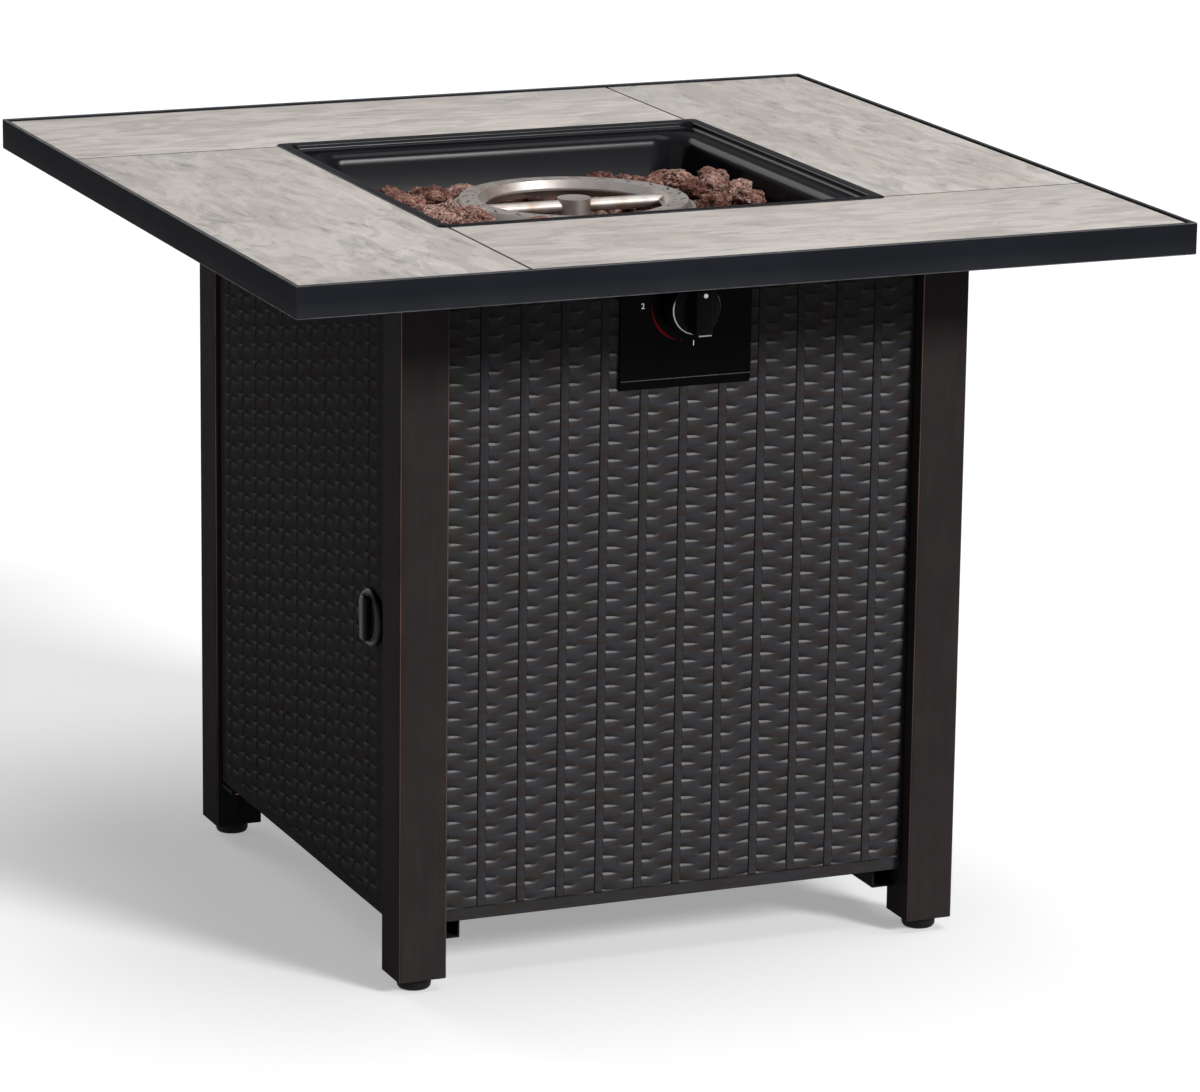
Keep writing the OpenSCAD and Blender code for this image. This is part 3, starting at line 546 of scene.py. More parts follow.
@dataclass(frozen=True)
class LavaStone:
    """Porous reddish-brown lava, paler on its worn faces, dark in its pores, and with painted shade
    on the stones' undersides.
    """

    name: str
    body: Colour = (0.120, 0.045, 0.034)
    pale: Colour = (0.330, 0.160, 0.120)
    ash: Colour = (0.620, 0.440, 0.380)
    pore: Colour = (0.014, 0.007, 0.006)
    bend: Point = (6 * MM, 6 * MM, 6 * MM)
    relief: float = 1.6 * MM

    def make(self) -> bpy.types.Material:
        """Build the material.

        Returns:
            The finished material.
        """
        p = Paint(self.name)
        wide = p.noise(30.0, 5.0, 0.62)
        crust = p.noise(170.0, 6.0, 0.74)
        patch = p.noise(60.0, 3.0).ease(0.35, 0.65)
        swirl = p.node("ShaderNodeTexNoise", None,
                       {"Vector": p.place, "Scale": 120.0, "Detail": 2.0}, "Color")
        bent = p.node("ShaderNodeVectorMath", {"operation": "MULTIPLY_ADD"},
                      {0: swirl, 1: self.bend, 2: p.place})
        large = (1.0 - p.pits(170.0, bent).ease(0.16, 0.52)) * patch
        small = (1.0 - p.pits(430.0, bent).ease(0.12, 0.48)) * 0.8
        hole = large.most(small)
        # The mesh carries painted shade on each stone's underside, which the pore colour below
        # makes dark
        worn = p.attribute("tone") * 0.6 + crust * 0.5
        base = p.cover(
            self.body, (wide.ease(0.36, 0.66), self.pale),
            (worn.ease(0.50, 0.82) * 0.85, self.ash), (worn.ease(0.52, 0.26) * 0.85, self.pore),
            (hole * 0.95, self.pore))
        return p.coat(base, 0.92 - crust * 0.06, p.bump(crust * 0.9 - hole, self.relief, 0.9),
                      Specular_IOR_Level=0.2)


@dataclass(frozen=True)
class PrintedMark:
    """Opaque ink of a printed mark, with a weak glow that lets it stand out in shade."""

    name: str
    colour: Colour
    lift: float

    def make(self) -> bpy.types.Material:
        """Build the material.

        Returns:
            The finished material.
        """
        p = Paint(self.name)
        speck = p.noise(2600.0, 2.0).ease(0.35, 0.8)
        base = p.mix(speck * 0.2, self.colour, tuple(c * 0.75 for c in self.colour))
        return p.coat(base, 0.55 + speck * 0.1, Specular_IOR_Level=0.05, Emission_Color=base,
                      Emission_Strength=self.lift)


class Finishes:
    """All finishes of the table, each made once."""

    def __init__(self) -> None:
        """Make the materials."""
        low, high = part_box("edge_rail_front")
        self.band = BandCoat(
            # The band's last two colours paint its edge highlights and the floor's reflection at
            # its foot
            "band_satin", (0.0130, 0.0140, 0.0180), (0.0190, 0.0205, 0.0260),
            (0.0700, 0.0720, 0.0780), (0.2600, 0.2600, 0.2680), low.z, high.z).make()
        self.hidden = PowderCoat(
            "inner_black", (0.0110, 0.0110, 0.0118), (0.0170, 0.0170, 0.0178), 0.15, 0.45).make()
        self.pan = PowderCoat(
            "pan_black", (0.0042, 0.0047, 0.0064), (0.0070, 0.0077, 0.0102), 0.21, 0.21).make()
        self.control = PowderCoat(
            "control_black", (0.0020, 0.0018, 0.0019), (0.0034, 0.0031, 0.0032), 0.05, 0.25).make()
        # Lighter paint of a painted highlight line along the control panel's fold
        self.fold_highlight = PowderCoat(
            "fold_highlight_paint", (0.050, 0.050, 0.054), (0.085, 0.084, 0.088), 0.30, 0.30).make()
        self.leg = RubbedBronze(
            "rubbed_bronze", (0.0310, 0.0258, 0.0262), (0.0440, 0.0365, 0.0365),
            (0.480, 0.275, 0.200)).make()
        # The weave's last two colours paint shade into its grooves and highlights onto its crowns
        self.weave = WovenCoat(
            "woven_coat", (0.0490, 0.0495, 0.0580), (0.0490, 0.0400, 0.0385),
            (0.0440, 0.0475, 0.0420), (0.0230, 0.0220, 0.0220), (0.0760, 0.0730, 0.0750)).make()
        self.steel = BareMetal("burner_steel", (0.40, 0.375, 0.355), 0.50, (0.27, 0.17, 0.11), 0.8,
                               (260.0, 260.0, 900.0)).make()
        self.alloy = BareMetal("cast_alloy", (0.52, 0.525, 0.53), 0.48, (0.40, 0.40, 0.41)).make()
        self.zinc = BareMetal("zinc_plate", (0.46, 0.46, 0.47), 0.40, (0.52, 0.48, 0.36)).make()
        self.brass = BareMetal("brass", (0.62, 0.44, 0.20), 0.34, (0.42, 0.26, 0.10)).make()
        self.copper = BareMetal("copper_pin", (0.60, 0.30, 0.16), 0.30, (0.44, 0.18, 0.08)).make()
        self.chrome = BareMetal("trim_chrome", (0.28, 0.285, 0.29), 0.16, (0.21, 0.215, 0.22),
                                0.2).make()
        self.ceramic = Moulded("igniter_ceramic", (0.68, 0.65, 0.58), 0.42, 0.03 * MM, 0.45).make()
        self.knob = Moulded("knob_black", (0.0040, 0.0040, 0.0043), 0.42, 0.04 * MM, 0.05).make()
        self.latch = Moulded("latch_black", (0.0040, 0.0040, 0.0043), 0.36, 0.05 * MM, 0.12).make()
        self.plug = Moulded("plug_black", (0.0130, 0.0130, 0.0130), 0.55).make()
        self.rubber = Moulded("foot_rubber", (0.0080, 0.0080, 0.0080), 0.62).make()
        self.stone = LavaStone("lava_stone").make()
        self.red = PrintedMark("red_mark", (0.200, 0.006, 0.009), 0.10).make()
        self.white = PrintedMark("white_mark", (0.84, 0.84, 0.82), 0.42).make()
        self.planks = {}
        for i, (side, grey) in enumerate(zip(Side, (-0.06, 0.09, 0.08, 0.18))):
            grain = Grain.ALONG_X if side in (Side.FRONT, Side.BACK) else Grain.ALONG_Y
            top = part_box(f"tile_{side.label}")[1].z - PLANK_DROP
            shift = (3.1 * i, 5.7 - 2.3 * i, 0.37 * i)
            self.planks[side] = WeatheredPlank(
                f"plank_{side.label}", grain, shift, top, grey).make()


def link(name: str, data: Any) -> bpy.types.Object:
    """Put new data into the scene as an object at the origin.

    Args:
        name: The object's name.
        data: Its mesh, curve, lamp or camera.

    Returns:
        The object.
    """
    made = bpy.data.objects.new(name, data)
    bpy.context.scene.collection.objects.link(made)
    return made


class Form:
    """A mesh under construction, shaped with bmesh operators."""

    def __init__(self) -> None:
        """Start with nothing."""
        self.bm = bmesh.new()

    def cube(self, low: Point, high: Point) -> list:
        """Add a plain box between two corners and return its vertices."""
        middle, size = (Vector(high) + Vector(low)) / 2, Vector(high) - Vector(low)
        place = Matrix.Translation(middle) @ Matrix.Diagonal((*size, 1.0))
        return bmesh.ops.create_cube(self.bm, size=1.0, matrix=place)["verts"]

    def block(self, low: Point, high: Point, round_by: float, segments: int = 3,
              place: Matrix | None = None) -> None:
        """Add a box with rounded edges.

        Args:
            low: Lowest corner.
            high: Highest corner.
            round_by: Radius of the edges.
            segments: Faces across a rounded edge.
            place: Transform from the box's own frame to the table.
        """
        edges = {e for v in self.cube(low, high) for e in v.link_edges}
        verts = self.soften(edges, round_by, segments)
        if place is not None:
            bmesh.ops.transform(self.bm, matrix=place, verts=list(verts))

    def soften(self, edges: Iterable[bmesh.types.BMEdge], radius: float, segments: int) -> set:
        """Round the given edges.

        Args:
            edges: Edges to round.
            radius: Width of the rounding.
            segments: Faces across it.

        Returns:
            All vertices connected to the rounded faces.
        """
        made = bmesh.ops.bevel(
            self.bm, geom=list(edges), offset=radius, offset_type="OFFSET", segments=segments,
            profile=0.5, affect="EDGES", material=-1, clamp_overlap=True)
        return self.shell(made["verts"])

    @staticmethod
    def shell(starts: Iterable[bmesh.types.BMVert]) -> set:
        """Find all vertices that edges connect to the given ones.

        Args:
            starts: Vertices to start from.

        Returns:
            These vertices and all that hang together with them.
        """
        found = set(starts)
        grown = list(found)
        while grown:
            for edge in grown.pop().link_edges:
                for vert in edge.verts:
                    if vert not in found:
                        found.add(vert)
                        grown.append(vert)
        return found

    def outline(self, points: Sequence[Point], closed: bool = False) -> tuple[list, list]:
        """Add a chain of vertices.

        Args:
            points: Places of the vertices.
            closed: Whether the last one joins the first.

        Returns:
            The vertices and the edges.
        """
        verts = [self.bm.verts.new(p) for p in points]
        pairs = list(zip(verts, verts[1:])) + ([(verts[-1], verts[0])] if closed else [])
        return verts, [self.bm.edges.new(pair) for pair in pairs]

    def prism(self, points: Sequence[Point], length: float) -> None:
        """Push a closed outline along X into a solid.

        Args:
            points: Corners of the outline.
            length: How far it is pushed.
        """
        verts, _ = self.outline(points, True)
        pushed = bmesh.ops.extrude_face_region(self.bm, geom=[self.bm.faces.new(verts)])["geom"]
        ends = [v for v in pushed if isinstance(v, bmesh.types.BMVert)]
        bmesh.ops.translate(self.bm, vec=(length, 0, 0), verts=ends)

    def lathe(self, section: Sequence[tuple[float, float]], place: Matrix, steps: int) -> None:
        """Spin a section of (radius, height) points about the Z axis of a place.

        Args:
            section: Points of the section, from axis to axis where the form is closed.
            place: Transform from the spin's own frame to the table.
            steps: Faces round the axis.
        """
        verts, edges = self.outline([(r, 0.0, h) for r, h in section])
        bmesh.ops.spin(
            self.bm, geom=verts + edges, cent=(0, 0, 0), axis=(0, 0, 1), dvec=(0, 0, 0),
            angle=math.tau, steps=steps, use_merge=True, use_duplicate=False)
        bmesh.ops.transform(self.bm, matrix=place, verts=list(self.shell(verts[:1])))

    def round_square(self, half: float, radius: float, height: float, segments: int) -> list:
        """Add a square loop of edges with round corners.

        Args:
            half: Half the square's width.
            radius: Radius of its corners.
            height: Height of the loop.
            segments: Edges round a corner.

        Returns:
            The loop's edges.
        """
        verts = bmesh.ops.create_grid(
            self.bm, x_segments=1, y_segments=1, size=half,
            matrix=Matrix.Translation((0, 0, height)))["verts"]
        corner = bmesh.ops.bevel(
            self.bm, geom=list(verts), offset=radius, offset_type="OFFSET", segments=segments,
            profile=0.5, affect="VERTICES", material=-1)
        shell = self.shell(corner["verts"][:1])
        faces = list({f for v in shell for f in v.link_faces})
        bmesh.ops.delete(self.bm, geom=faces, context="FACES_ONLY")
        return list({e for v in shell for e in v.link_edges})

    def piece(self, name: str, sharp: float = 35.0, merge: float = 1e-6) -> bpy.types.Object:
        """Close the form into an object at the origin.

        Args:
            name: The object's name.
            sharp: Angle in degrees from which an edge stays sharp.
            merge: Distance within which vertices are joined.

        Returns:
            The object, which rides on nothing yet.
        """
        bmesh.ops.remove_doubles(self.bm, verts=self.bm.verts[:], dist=merge)
        bmesh.ops.recalc_face_normals(self.bm, faces=self.bm.faces[:])
        return self.close(name, sharp)

    def close(self, name: str, sharp: float) -> bpy.types.Object:
        """Make the form an object as it is.

        Args:
            name: The object's name.
            sharp: Angle in degrees from which an edge stays sharp.

        Returns:
            The object, which rides on nothing yet.
        """
        mesh = bpy.data.meshes.new(name)
        self.bm.to_mesh(mesh)
        self.bm.free()
        mesh.shade_smooth()
        mesh.set_sharp_from_angle(angle=math.radians(sharp))
        return link(name, mesh)


def dress(piece: bpy.types.Object, material: bpy.types.Material, body: str, slot: str,
          *nodes: str) -> None:
    """Give a piece its finish and its place among the bodies.

    Args:
        piece: The piece.
        material: Its finish.
        body: Body that it moves with.
        slot: Slot of the record that its finish comes from; it is not used.
        nodes: Solids that it stands for.
    """
    piece.data.materials.clear()
    piece.data.materials.append(material)
    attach(piece, body)
    if nodes:
        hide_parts(*nodes)
    log.info("%s rides on %s", piece.name, body)


@dataclass
class Tabletop:
    """Edge band of mitred rails and the pinwheel of plank tiles."""

    finishes: Finishes
    band_h: float = 28 * MM
    lip_w: float = 3 * MM
    lip_play: float = 0.4 * MM
    wall: float = 1.2 * MM
    ledge_end: float = 30 * MM
    ledge_drop: float = 10.6 * MM
    return_w: float = 12 * MM
    edge_r: float = 1.2 * MM
    tile_r: float = 1.1 * MM
    near_band: float = 10 * MM

    @staticmethod
    def _runs_along(edge: bmesh.types.BMEdge) -> bool:
        """Whether an edge of the front rail runs straight along it."""
        way = edge.verts[0].co - edge.verts[1].co
        return abs(way.y) < SAME and abs(way.z) < SAME

    def rail(self, side: Side) -> bpy.types.Object:
        """Build one mitred edge rail.

        Args:
            side: Side of the table that it lies on.

        Returns:
            The rail.
        """
        low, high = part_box(f"edge_rail_{side.label}")
        half = max(abs(c) for c in (low.x, low.y, high.x, high.y))
        top, bottom = high.z, high.z - self.band_h
        ledge = top - self.ledge_drop
        t, lip = self.wall, self.lip_w
        section = [
            (0, bottom), (0, top), (lip, top), (lip, ledge), (self.ledge_end, ledge),
            (self.ledge_end, ledge - t), (lip - t, ledge - t), (lip - t, top - t), (t, top - t),
            (t, bottom + t), (self.return_w, bottom + t), (self.return_w, bottom)]
        form = Form()
        form.prism([(-half, -half + inward, h) for inward, h in section], 2 * half)
        for sign in (-1, 1):
            bmesh.ops.bisect_plane(
                form.bm, geom=form.bm.verts[:] + form.bm.edges[:] + form.bm.faces[:], dist=SAME,
                plane_co=(0, 0, 0), plane_no=(sign, 1, 0), clear_outer=True)
            cut = [e for e in form.bm.edges if e.is_boundary]
            bmesh.ops.holes_fill(form.bm, edges=cut, sides=0)
        along = [e for e in form.bm.edges if self._runs_along(e)]
        outer = [e for e in along if e.verts[0].co.y < -half + 1e-6]
        inner = [e for e in along
                 if abs(e.verts[0].co.z - top) < SAME and e.verts[0].co.y > -half + 1e-4]
        form.soften(outer, self.edge_r, 4)
        form.soften([e for e in inner if e.is_valid], self.edge_r * 0.5, 3)
        bmesh.ops.transform(form.bm, matrix=side.turn, verts=form.bm.verts[:])
        return form.piece(f"rail_{side.label}")

    def tile(self, side: Side) -> bpy.types.Object:
        """Build one plank tile with eased edges, out to the lip and a little below it.

        Args:
            side: Side of the table that it lies on.

        Returns:
            The tile.
        """
        low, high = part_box(f"tile_{side.label}")
        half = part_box("edge_rail_front")[1].x
        for corner in (low, high):
            for i in range(2):
                if abs(corner[i]) > half - self.near_band:
                    corner[i] = math.copysign(half - self.lip_w - self.lip_play, corner[i])
        high.z -= PLANK_DROP
        form = Form()
        form.block(low, high, self.tile_r)
        return form.piece(f"plank_{side.label}")

    def build(self) -> None:
        """Build and dress the rails and tiles."""
        for side in Side:
            name, planks = side.label, self.finishes.planks[side]
            dress(self.rail(side), self.finishes.band, "table", "band_paint", f"edge_rail_{name}")
            dress(self.tile(side), planks, "table", "tile_ceramic", f"tile_{name}")


@dataclass
class FirePan:
    """Pressed black pan that hangs by its rim in the tabletop's opening."""

    finishes: Finishes
    sheet: float = 1.2 * MM
    rim_w: float = 9.7 * MM
    step_drop: float = 7 * MM
    step_w: float = 18 * MM
    depth: float = 62 * MM - PLANK_DROP
    draft: float = 9 * MM
    corner_steps: int = 10

    def section(self, rim: float, top: float) -> list[tuple[float, float, float]]:
        """Loops of the pan's inner face.

        Args:
            rim: Half the rim's width.
            top: Height of the rim's upper face.

        Returns:
            Half width, corner radius and height of each loop, from the rim's edge to the floor.
        """
        wall = rim - self.rim_w
        basin = wall - self.step_w
        foot = basin - self.draft
        step, floor = top - self.step_drop, top - self.depth
        # A width, a height, and steps from them: outwards, corner radius and upwards in millimetres
        bends = (
            (rim, top, ((0, 6, -1.2), (0, 6, -0.5), (-0.5, 5.6, 0))),
            (wall, top, ((1.6, 8.6, -0.1), (0.5, 9.2, -0.5), (0, 9.6, -1.8))),
            (wall, step, ((-0.1, 10, 3.2), (-1.0, 11, 1.0), (-3.0, 12.5, 0.1), (-6, 16, 0))),
            (basin, step, ((9.0, 20, -0.4), (6.2, 23, -1.4), (3.6, 25, -3.0), (1.6, 27, -5.4),
                           (0.2, 28, -8.6), (-0.8, 28, -12.4))),
            (foot, floor, ((2.6, 28, 8.0), (0.6, 28, 3.6), (-1.8, 27, 1.0), (-5.0, 26, 0.1),
                           (-10.0, 25, 0))),
            (0.0, floor, ((60, 40, -0.1), (12, 11, -0.2))))
        return [(half + out * MM, radius * MM, height + up * MM)
                for half, height, bend in bends for out, radius, up in bend]

    def build(self) -> None:
        """Build and dress the pan."""
        _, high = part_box("burner_pan")
        form = Form()
        loops = [form.round_square(*loop, self.corner_steps)
                 for loop in self.section(high.x, high.z - PLANK_DROP)]
        for outer, inner in zip(loops, loops[1:]):
            bmesh.ops.bridge_loops(form.bm, edges=outer + inner)
        shell = form.piece("fire_pan", 60.0)
        if sum(p.normal.z * p.area for p in shell.data.polygons) < 0:
            shell.data.flip_normals()
        wall = shell.modifiers.new("sheet", "SOLIDIFY")
        wall.thickness = self.sheet
        wall.offset = -1.0
        dress(shell, self.finishes.pan, "table", "pan_enamel", "burner_pan")


@dataclass
class RockBed:
    """Loose lava rocks in the pan, heaped along the door side and in the near corner."""

    finishes: Finishes
    cell: float = 34 * MM
    rows: int = 10
    reach: float = 17 * MM
    low_h: float = 17 * MM
    tall_h: float = 28 * MM
    heap_h: float = 23 * MM
    ring_outer: float = 109 * MM
    hub: float = 15 * MM
    spark: Point = (21 * MM, -63 * MM, 8 * MM)
    room: float = 170 * MM
    loose: float = 6 * MM
    heap_edge: float = 84 * MM
    heap_side: float = 60 * MM
    near_end: float = 34 * MM
    far_edge: float = 112 * MM
    sink: float = 2 * MM
    lumps: tuple[tuple[float, float], ...] = ((1.1, 0.42), (2.6, 0.16))
    crumbs: tuple[tuple[float, float], ...] = ((6.0, 0.08), (12.0, 0.05))
    pit_scale: float = 3.8
    pit_r: float = 0.34
    rng: Random = field(default_factory=lambda: Random(11))
    floor: float = field(default_factory=lambda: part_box("lava_rocks")[0].z)

    def stone(self, form: Form, centre: Vector, size: Vector, fine: int) -> None:
        """Add one broken stone.

        Args:
            form: Mesh that the stone goes into.
            centre: Its middle.
            size: Its half width, half depth and half height.
            fine: Subdivisions of its skin.
        """
        rng = self.rng
        verts = bmesh.ops.create_icosphere(form.bm, subdivisions=fine, radius=1.0)["verts"]
        away = Vector([rng.uniform(-50, 50) for _ in range(3)])
        tone = form.bm.verts.layers.float["tone"]
        own = rng.uniform(0.40, 0.70)
        for vert in verts:
            d = vert.co.normalized()
            lump, crust = (sum(noise.noise(d * scale + away) * high for scale, high in waves)
                           for waves in (self.lumps, self.crumbs))
            pit = max(0.0, self.pit_r - noise.voronoi(d * self.pit_scale + away)[0][0])
            vert.co = d * (0.92 + lump + crust - pit * 0.55)
            # Painted shade: each stone is made darker on its underside
            shade = 0.45 * max(0.0, -0.1 - d.z)
            light = own + crust * 2.8 + lump * 0.3 - pit * 2.6 - shade
            vert[tone] = min(1.0, max(0.0, light))
        spin = Matrix.Rotation(rng.uniform(0, math.tau), 4, "Z")
        tip = Matrix.Rotation(rng.uniform(-0.3, 0.3), 4, "X")
        bmesh.ops.transform(form.bm, matrix=spin @ tip, verts=verts)
        span = [max(abs(v.co[i]) for v in verts) for i in range(3)]
        scale = Matrix.Diagonal((*(half / wide for half, wide in zip(size, span)), 1.0))
        bmesh.ops.transform(form.bm, matrix=Matrix.Translation(centre) @ scale, verts=verts)

    def spot(self, x: float, y: float, half: float) -> Vector | None:
        """Find a place for a stone near a point of the grid.

        Args:
            x: The point's place across the pan.
            y: Its place along the pan.
            half: Half the stone's width.

        Returns:
            The place on the pan's floor, or nothing where the hub or the igniter stands.
        """
        limit = self.room - half
        x, y = (max(-limit, min(limit, c + self.rng.uniform(-1, 1) * self.loose)) for c in (x, y))
        spark_x, spark_y, spark_r = self.spark
        by_spark = math.hypot(x - spark_x, y - spark_y) < spark_r + half
        if by_spark or math.hypot(x, y) < self.hub + half:
            return None
        return Vector((x, y, self.floor))

    def heap(self, spot: Vector) -> str | None:
        """Tell which heap has a second stone above a place.

        Args:
            spot: The place.

        Returns:
            The heap's name, or nothing where the bed has one layer.
        """
        if spot.y < -self.heap_edge and spot.x < self.near_end:
            return "rocks_near"
        left = spot.x < -self.heap_edge and spot.y < self.heap_side
        right = spot.x > self.far_edge and abs(spot.y) < self.heap_side
        return "rocks_heap" if left or right else None

    def row(self, forms: dict[str, Form], y: float, places: Sequence[float]) -> None:
        """Lay one row of stones, and the heaps' stones on top of them.

        Args:
            forms: Meshes of the bed and of the heaps.
            y: The row's place along the pan.
            places: The stones' places across it.
        """
        rng = self.rng
        up = Vector((0, 0, 1))
        for x in places:
            wide = rng.uniform(0.90, 1.14) * self.reach
            deep = rng.uniform(0.84, 1.06) * self.reach
            spot = self.spot(x, y, wide)
            if spot is None:
                continue
            clear = spot.xy.length > self.ring_outer + wide
            height = rng.uniform(0.84, 1.0) * (self.tall_h if clear else self.low_h)
            size = Vector((wide, deep, height / 2))
            self.stone(forms["rocks_bed"], spot + up * height / 2, size, 4)
            heap = self.heap(spot)
            if clear and heap:
                tall = rng.uniform(0.70, 1.0) * self.heap_h
                rise = height + tall / 2 - self.sink
                jig = Vector((rng.uniform(-3, 3), rng.uniform(-3, 3), 0)) * MM
                size = Vector((wide, deep, tall / 2))
                self.stone(forms[heap], spot + up * rise + jig, size, 5)

    def gaps(self, form: Form) -> None:
        """Lay small stones between the rows.

        Args:
            form: Mesh of the bed.
        """
        half_rows = self.rows // 2
        for j in range(1 - half_rows, half_rows):
            for i in range(-half_rows, half_rows):
                half = self.rng.uniform(7.5, 11.0) * MM
                spot = self.spot((i + 0.5 + j % 2 * 0.5) * self.cell, j * self.cell, half)
                if spot is not None:
                    height = self.rng.uniform(10.0, 15.0) * MM
                    size = Vector((half, 0.85 * half, height / 2))
                    self.stone(form, spot + Vector((0, 0, height / 2)), size, 3)

    def build(self) -> None:
        """Build and dress the bed: staggered rows with heaps on them, and small stones between."""
        forms = {name: Form() for name in ("rocks_bed", "rocks_heap", "rocks_near")}
        for form in forms.values():
            form.bm.verts.layers.float.new("tone")
        half = self.rows // 2
        straight = [(i + 0.5) * self.cell for i in range(-half, half)]
        staggered = [(half - 0.5) / half * i * self.cell for i in range(-half, half + 1)]
        for j in range(-half, half):
            self.row(forms, (j + 0.5) * self.cell, staggered if j % 2 else straight)
        self.gaps(forms["rocks_bed"])
        for name, form in forms.items():
            piece = form.piece(name, 80.0)
            dress(piece, self.finishes.stone, "table", "lava_stone", "lava_rocks")


@dataclass
class WovenSheet:
    """Pressed steel sheet with a basket weave, drawn for the front and turned to its side."""

    finishes: Finishes
    side: Side
    node: str
    body: str
    margin: float
    end_margin: float = 8 * MM
    relief: float = 2.4 * MM
    sheet: float = 1.2 * MM
    hem_r: float = 1.0 * MM
    stake_pitch: float = 36.6 * MM
    strand_pitch: float = 7.7 * MM
    stake_w: float = 8 * MM
    stake_rise: float = 0.8 * MM
    stake_bow: float = 0.45 * MM
    stake_edge: float = 0.3 * MM
    groove: float = 0.5 * MM
    rest: float = 1.1 * MM
    rise: float = 1.1 * MM
    slope: float = 0.44
    fade: float = 15 * MM
    lead: float = 0.8 * MM
    behind: float = 0.35 * MM
    run_out: float = 2.2 * MM
    gloss: float = 1.0
    columns: tuple[float, ...] = (0.0, 0.05, 0.088, 0.109, 0.126, 0.215, 0.345, 0.5)
    lines: int = 7

    def near(self, u: np.ndarray) -> tuple[np.ndarray, np.ndarray, np.ndarray]:
        """What lies next to a place on the sheet.

        Args:
            u: Distance from the middle of the sheet, across it.

        Returns:
            The number of the nearest stake, the distance from that stake's edge, and the share of
            their full rise that the strands have there.
        """
        stake = np.round(u / self.stake_pitch)
        out = np.abs(u - stake * self.stake_pitch) - self.stake_w / 2
        far = np.clip(out / self.fade, 0, 1)
        return stake, out, 1 - 0.45 * far - 0.55 * far ** 3

    def row(self, u: np.ndarray, line: np.ndarray) -> np.ndarray:
        """Place the grid's rows so that they follow the strands' shoulders.

        Args:
            u: Distance from the middle of the sheet, across it.
            line: Number of the row.

        Returns:
            Heights above the foot of the first strand.
        """
        stake, _, swell = self.near(u)
        strand, step = line // self.lines, line % self.lines
        shoulder = self.rise * swell / self.slope
        over = self.lead + shoulder + self.behind
        follow = np.choose(step, [
            np.zeros_like(u), np.full_like(u, self.lead), self.lead + shoulder / 3,
            self.lead + shoulder * 2 / 3, self.lead + shoulder, over,
            (over + self.strand_pitch) / 2])
        even = step * self.strand_pitch / self.lines
        swells = np.mod(strand + stake, 2) == 0
        return strand * self.strand_pitch + np.where(swells, follow, even)

    def weave(self, u: np.ndarray, v: np.ndarray) -> tuple[np.ndarray, np.ndarray, np.ndarray]:
        """Relief of the weave.

        Beside a stake, every other strand swells out: it has a steep shoulder on top and falls away
        slowly below. The next stake does the same with the strands between.

        Args:
            u: Distance from the middle of the sheet, across it.
            v: Height above the foot of the first strand.

        Returns:
            The height, the painted light and shade from 0 in the grooves to 1 on the crowns, and
            the shoulders' gloss.
        """
        period = 2 * self.strand_pitch
        stake, out, swell = self.near(u)
        rise = self.rise * swell
        shoulder = rise / self.slope
        crest = self.lead + np.mod(stake, 2.0) * self.strand_pitch
        above = np.mod(v - crest - shoulder - SAME, period) + shoulder - period
        below = np.clip(-above / (period - shoulder), 0, 1)
        steep = above > 0
        height = self.rest + np.where(steep, rise - self.slope * above, rise * (1 - below ** 1.8))
        # Painted light and shade: light on the shoulder and under the crest, darker down to the
        # groove above the next shoulder
        tone = 0.5 + swell * np.where(steep, 0.3, 0.5 - below)
        on_stake = out < -self.stake_edge
        groove = (np.abs(out) <= self.stake_edge) & (u < stake * self.stake_pitch)
        across = 1 + 2 * out / self.stake_w
        crown = self.rest + self.stake_rise - self.stake_bow * across ** 2
        height = np.where(on_stake, crown, np.where(groove, self.rest - self.groove, height))
        # Painted shading across each stake, darker at its edges, and a painted shadow in the groove
        # on its left
        stake_tone = 0.40 + 0.12 * np.sin(np.pi * across)
        tone = np.where(on_stake, stake_tone, np.where(groove, 0.1, tone))
        bright = steep & (out > -self.stake_edge) & ~groove
        return height, tone, np.where(bright, np.clip(2.2 * swell, 0, 1) * self.gloss, 0.0)

    def column(self, step: np.ndarray) -> np.ndarray:
        """Place the grid's columns, close together at the edges of the stakes.

        Args:
            step: Whole numbers of columns from the middle.

        Returns:
            Positions in stake pitches.
        """
        half = len(self.columns) - 1
        whole = np.round(step / (2 * half))
        part = step - whole * 2 * half
        return whole + np.sign(part) * np.interp(np.abs(part), np.arange(half + 1), self.columns)

    def skin(self, form: Form, low: Vector, high: Vector) -> tuple[np.ndarray, np.ndarray]:
        """Build the woven face in the front's own frame.

        Args:
            form: Mesh that the face goes into.
            low: Left, bottom corner of the sheet, with the crest plane as Y.
            high: Right, top corner.

        Returns:
            The painted light and shade and the gloss of each vertex.
        """
        reach = (high.x - low.x) / 2 - self.margin
        tall = high.z - low.z
        strands = math.floor((tall - 2 * self.end_margin) / self.strand_pitch)
        span = strands * self.strand_pitch
        stakes = reach / self.stake_pitch
        across = math.ceil(stakes * 2 * (len(self.columns) - 1))
        up = strands * self.lines
        bmesh.ops.create_grid(form.bm, x_segments=2 * across, y_segments=up, size=1.0)
        flat = np.array([v.co for v in form.bm.verts])
        u = np.clip(self.column(np.rint(flat[:, 0] * across)), -stakes, stakes) * self.stake_pitch
        v = self.row(u, np.rint((flat[:, 1] + 1) / 2 * up).astype(int))
        height, tone, shine = self.weave(u, v)
        rim = np.minimum(reach - np.abs(u), np.minimum(v, span - v))
        height = np.where(rim < 1e-6, -self.groove, height * np.clip(rim / self.run_out, 0, 1))
        x, z = u + (low.x + high.x) / 2, v + low.z + (tall - span) / 2
        for vert, place in zip(form.bm.verts, zip(x, low.y + self.relief - height, z)):
            vert.co = place
        return tone, shine

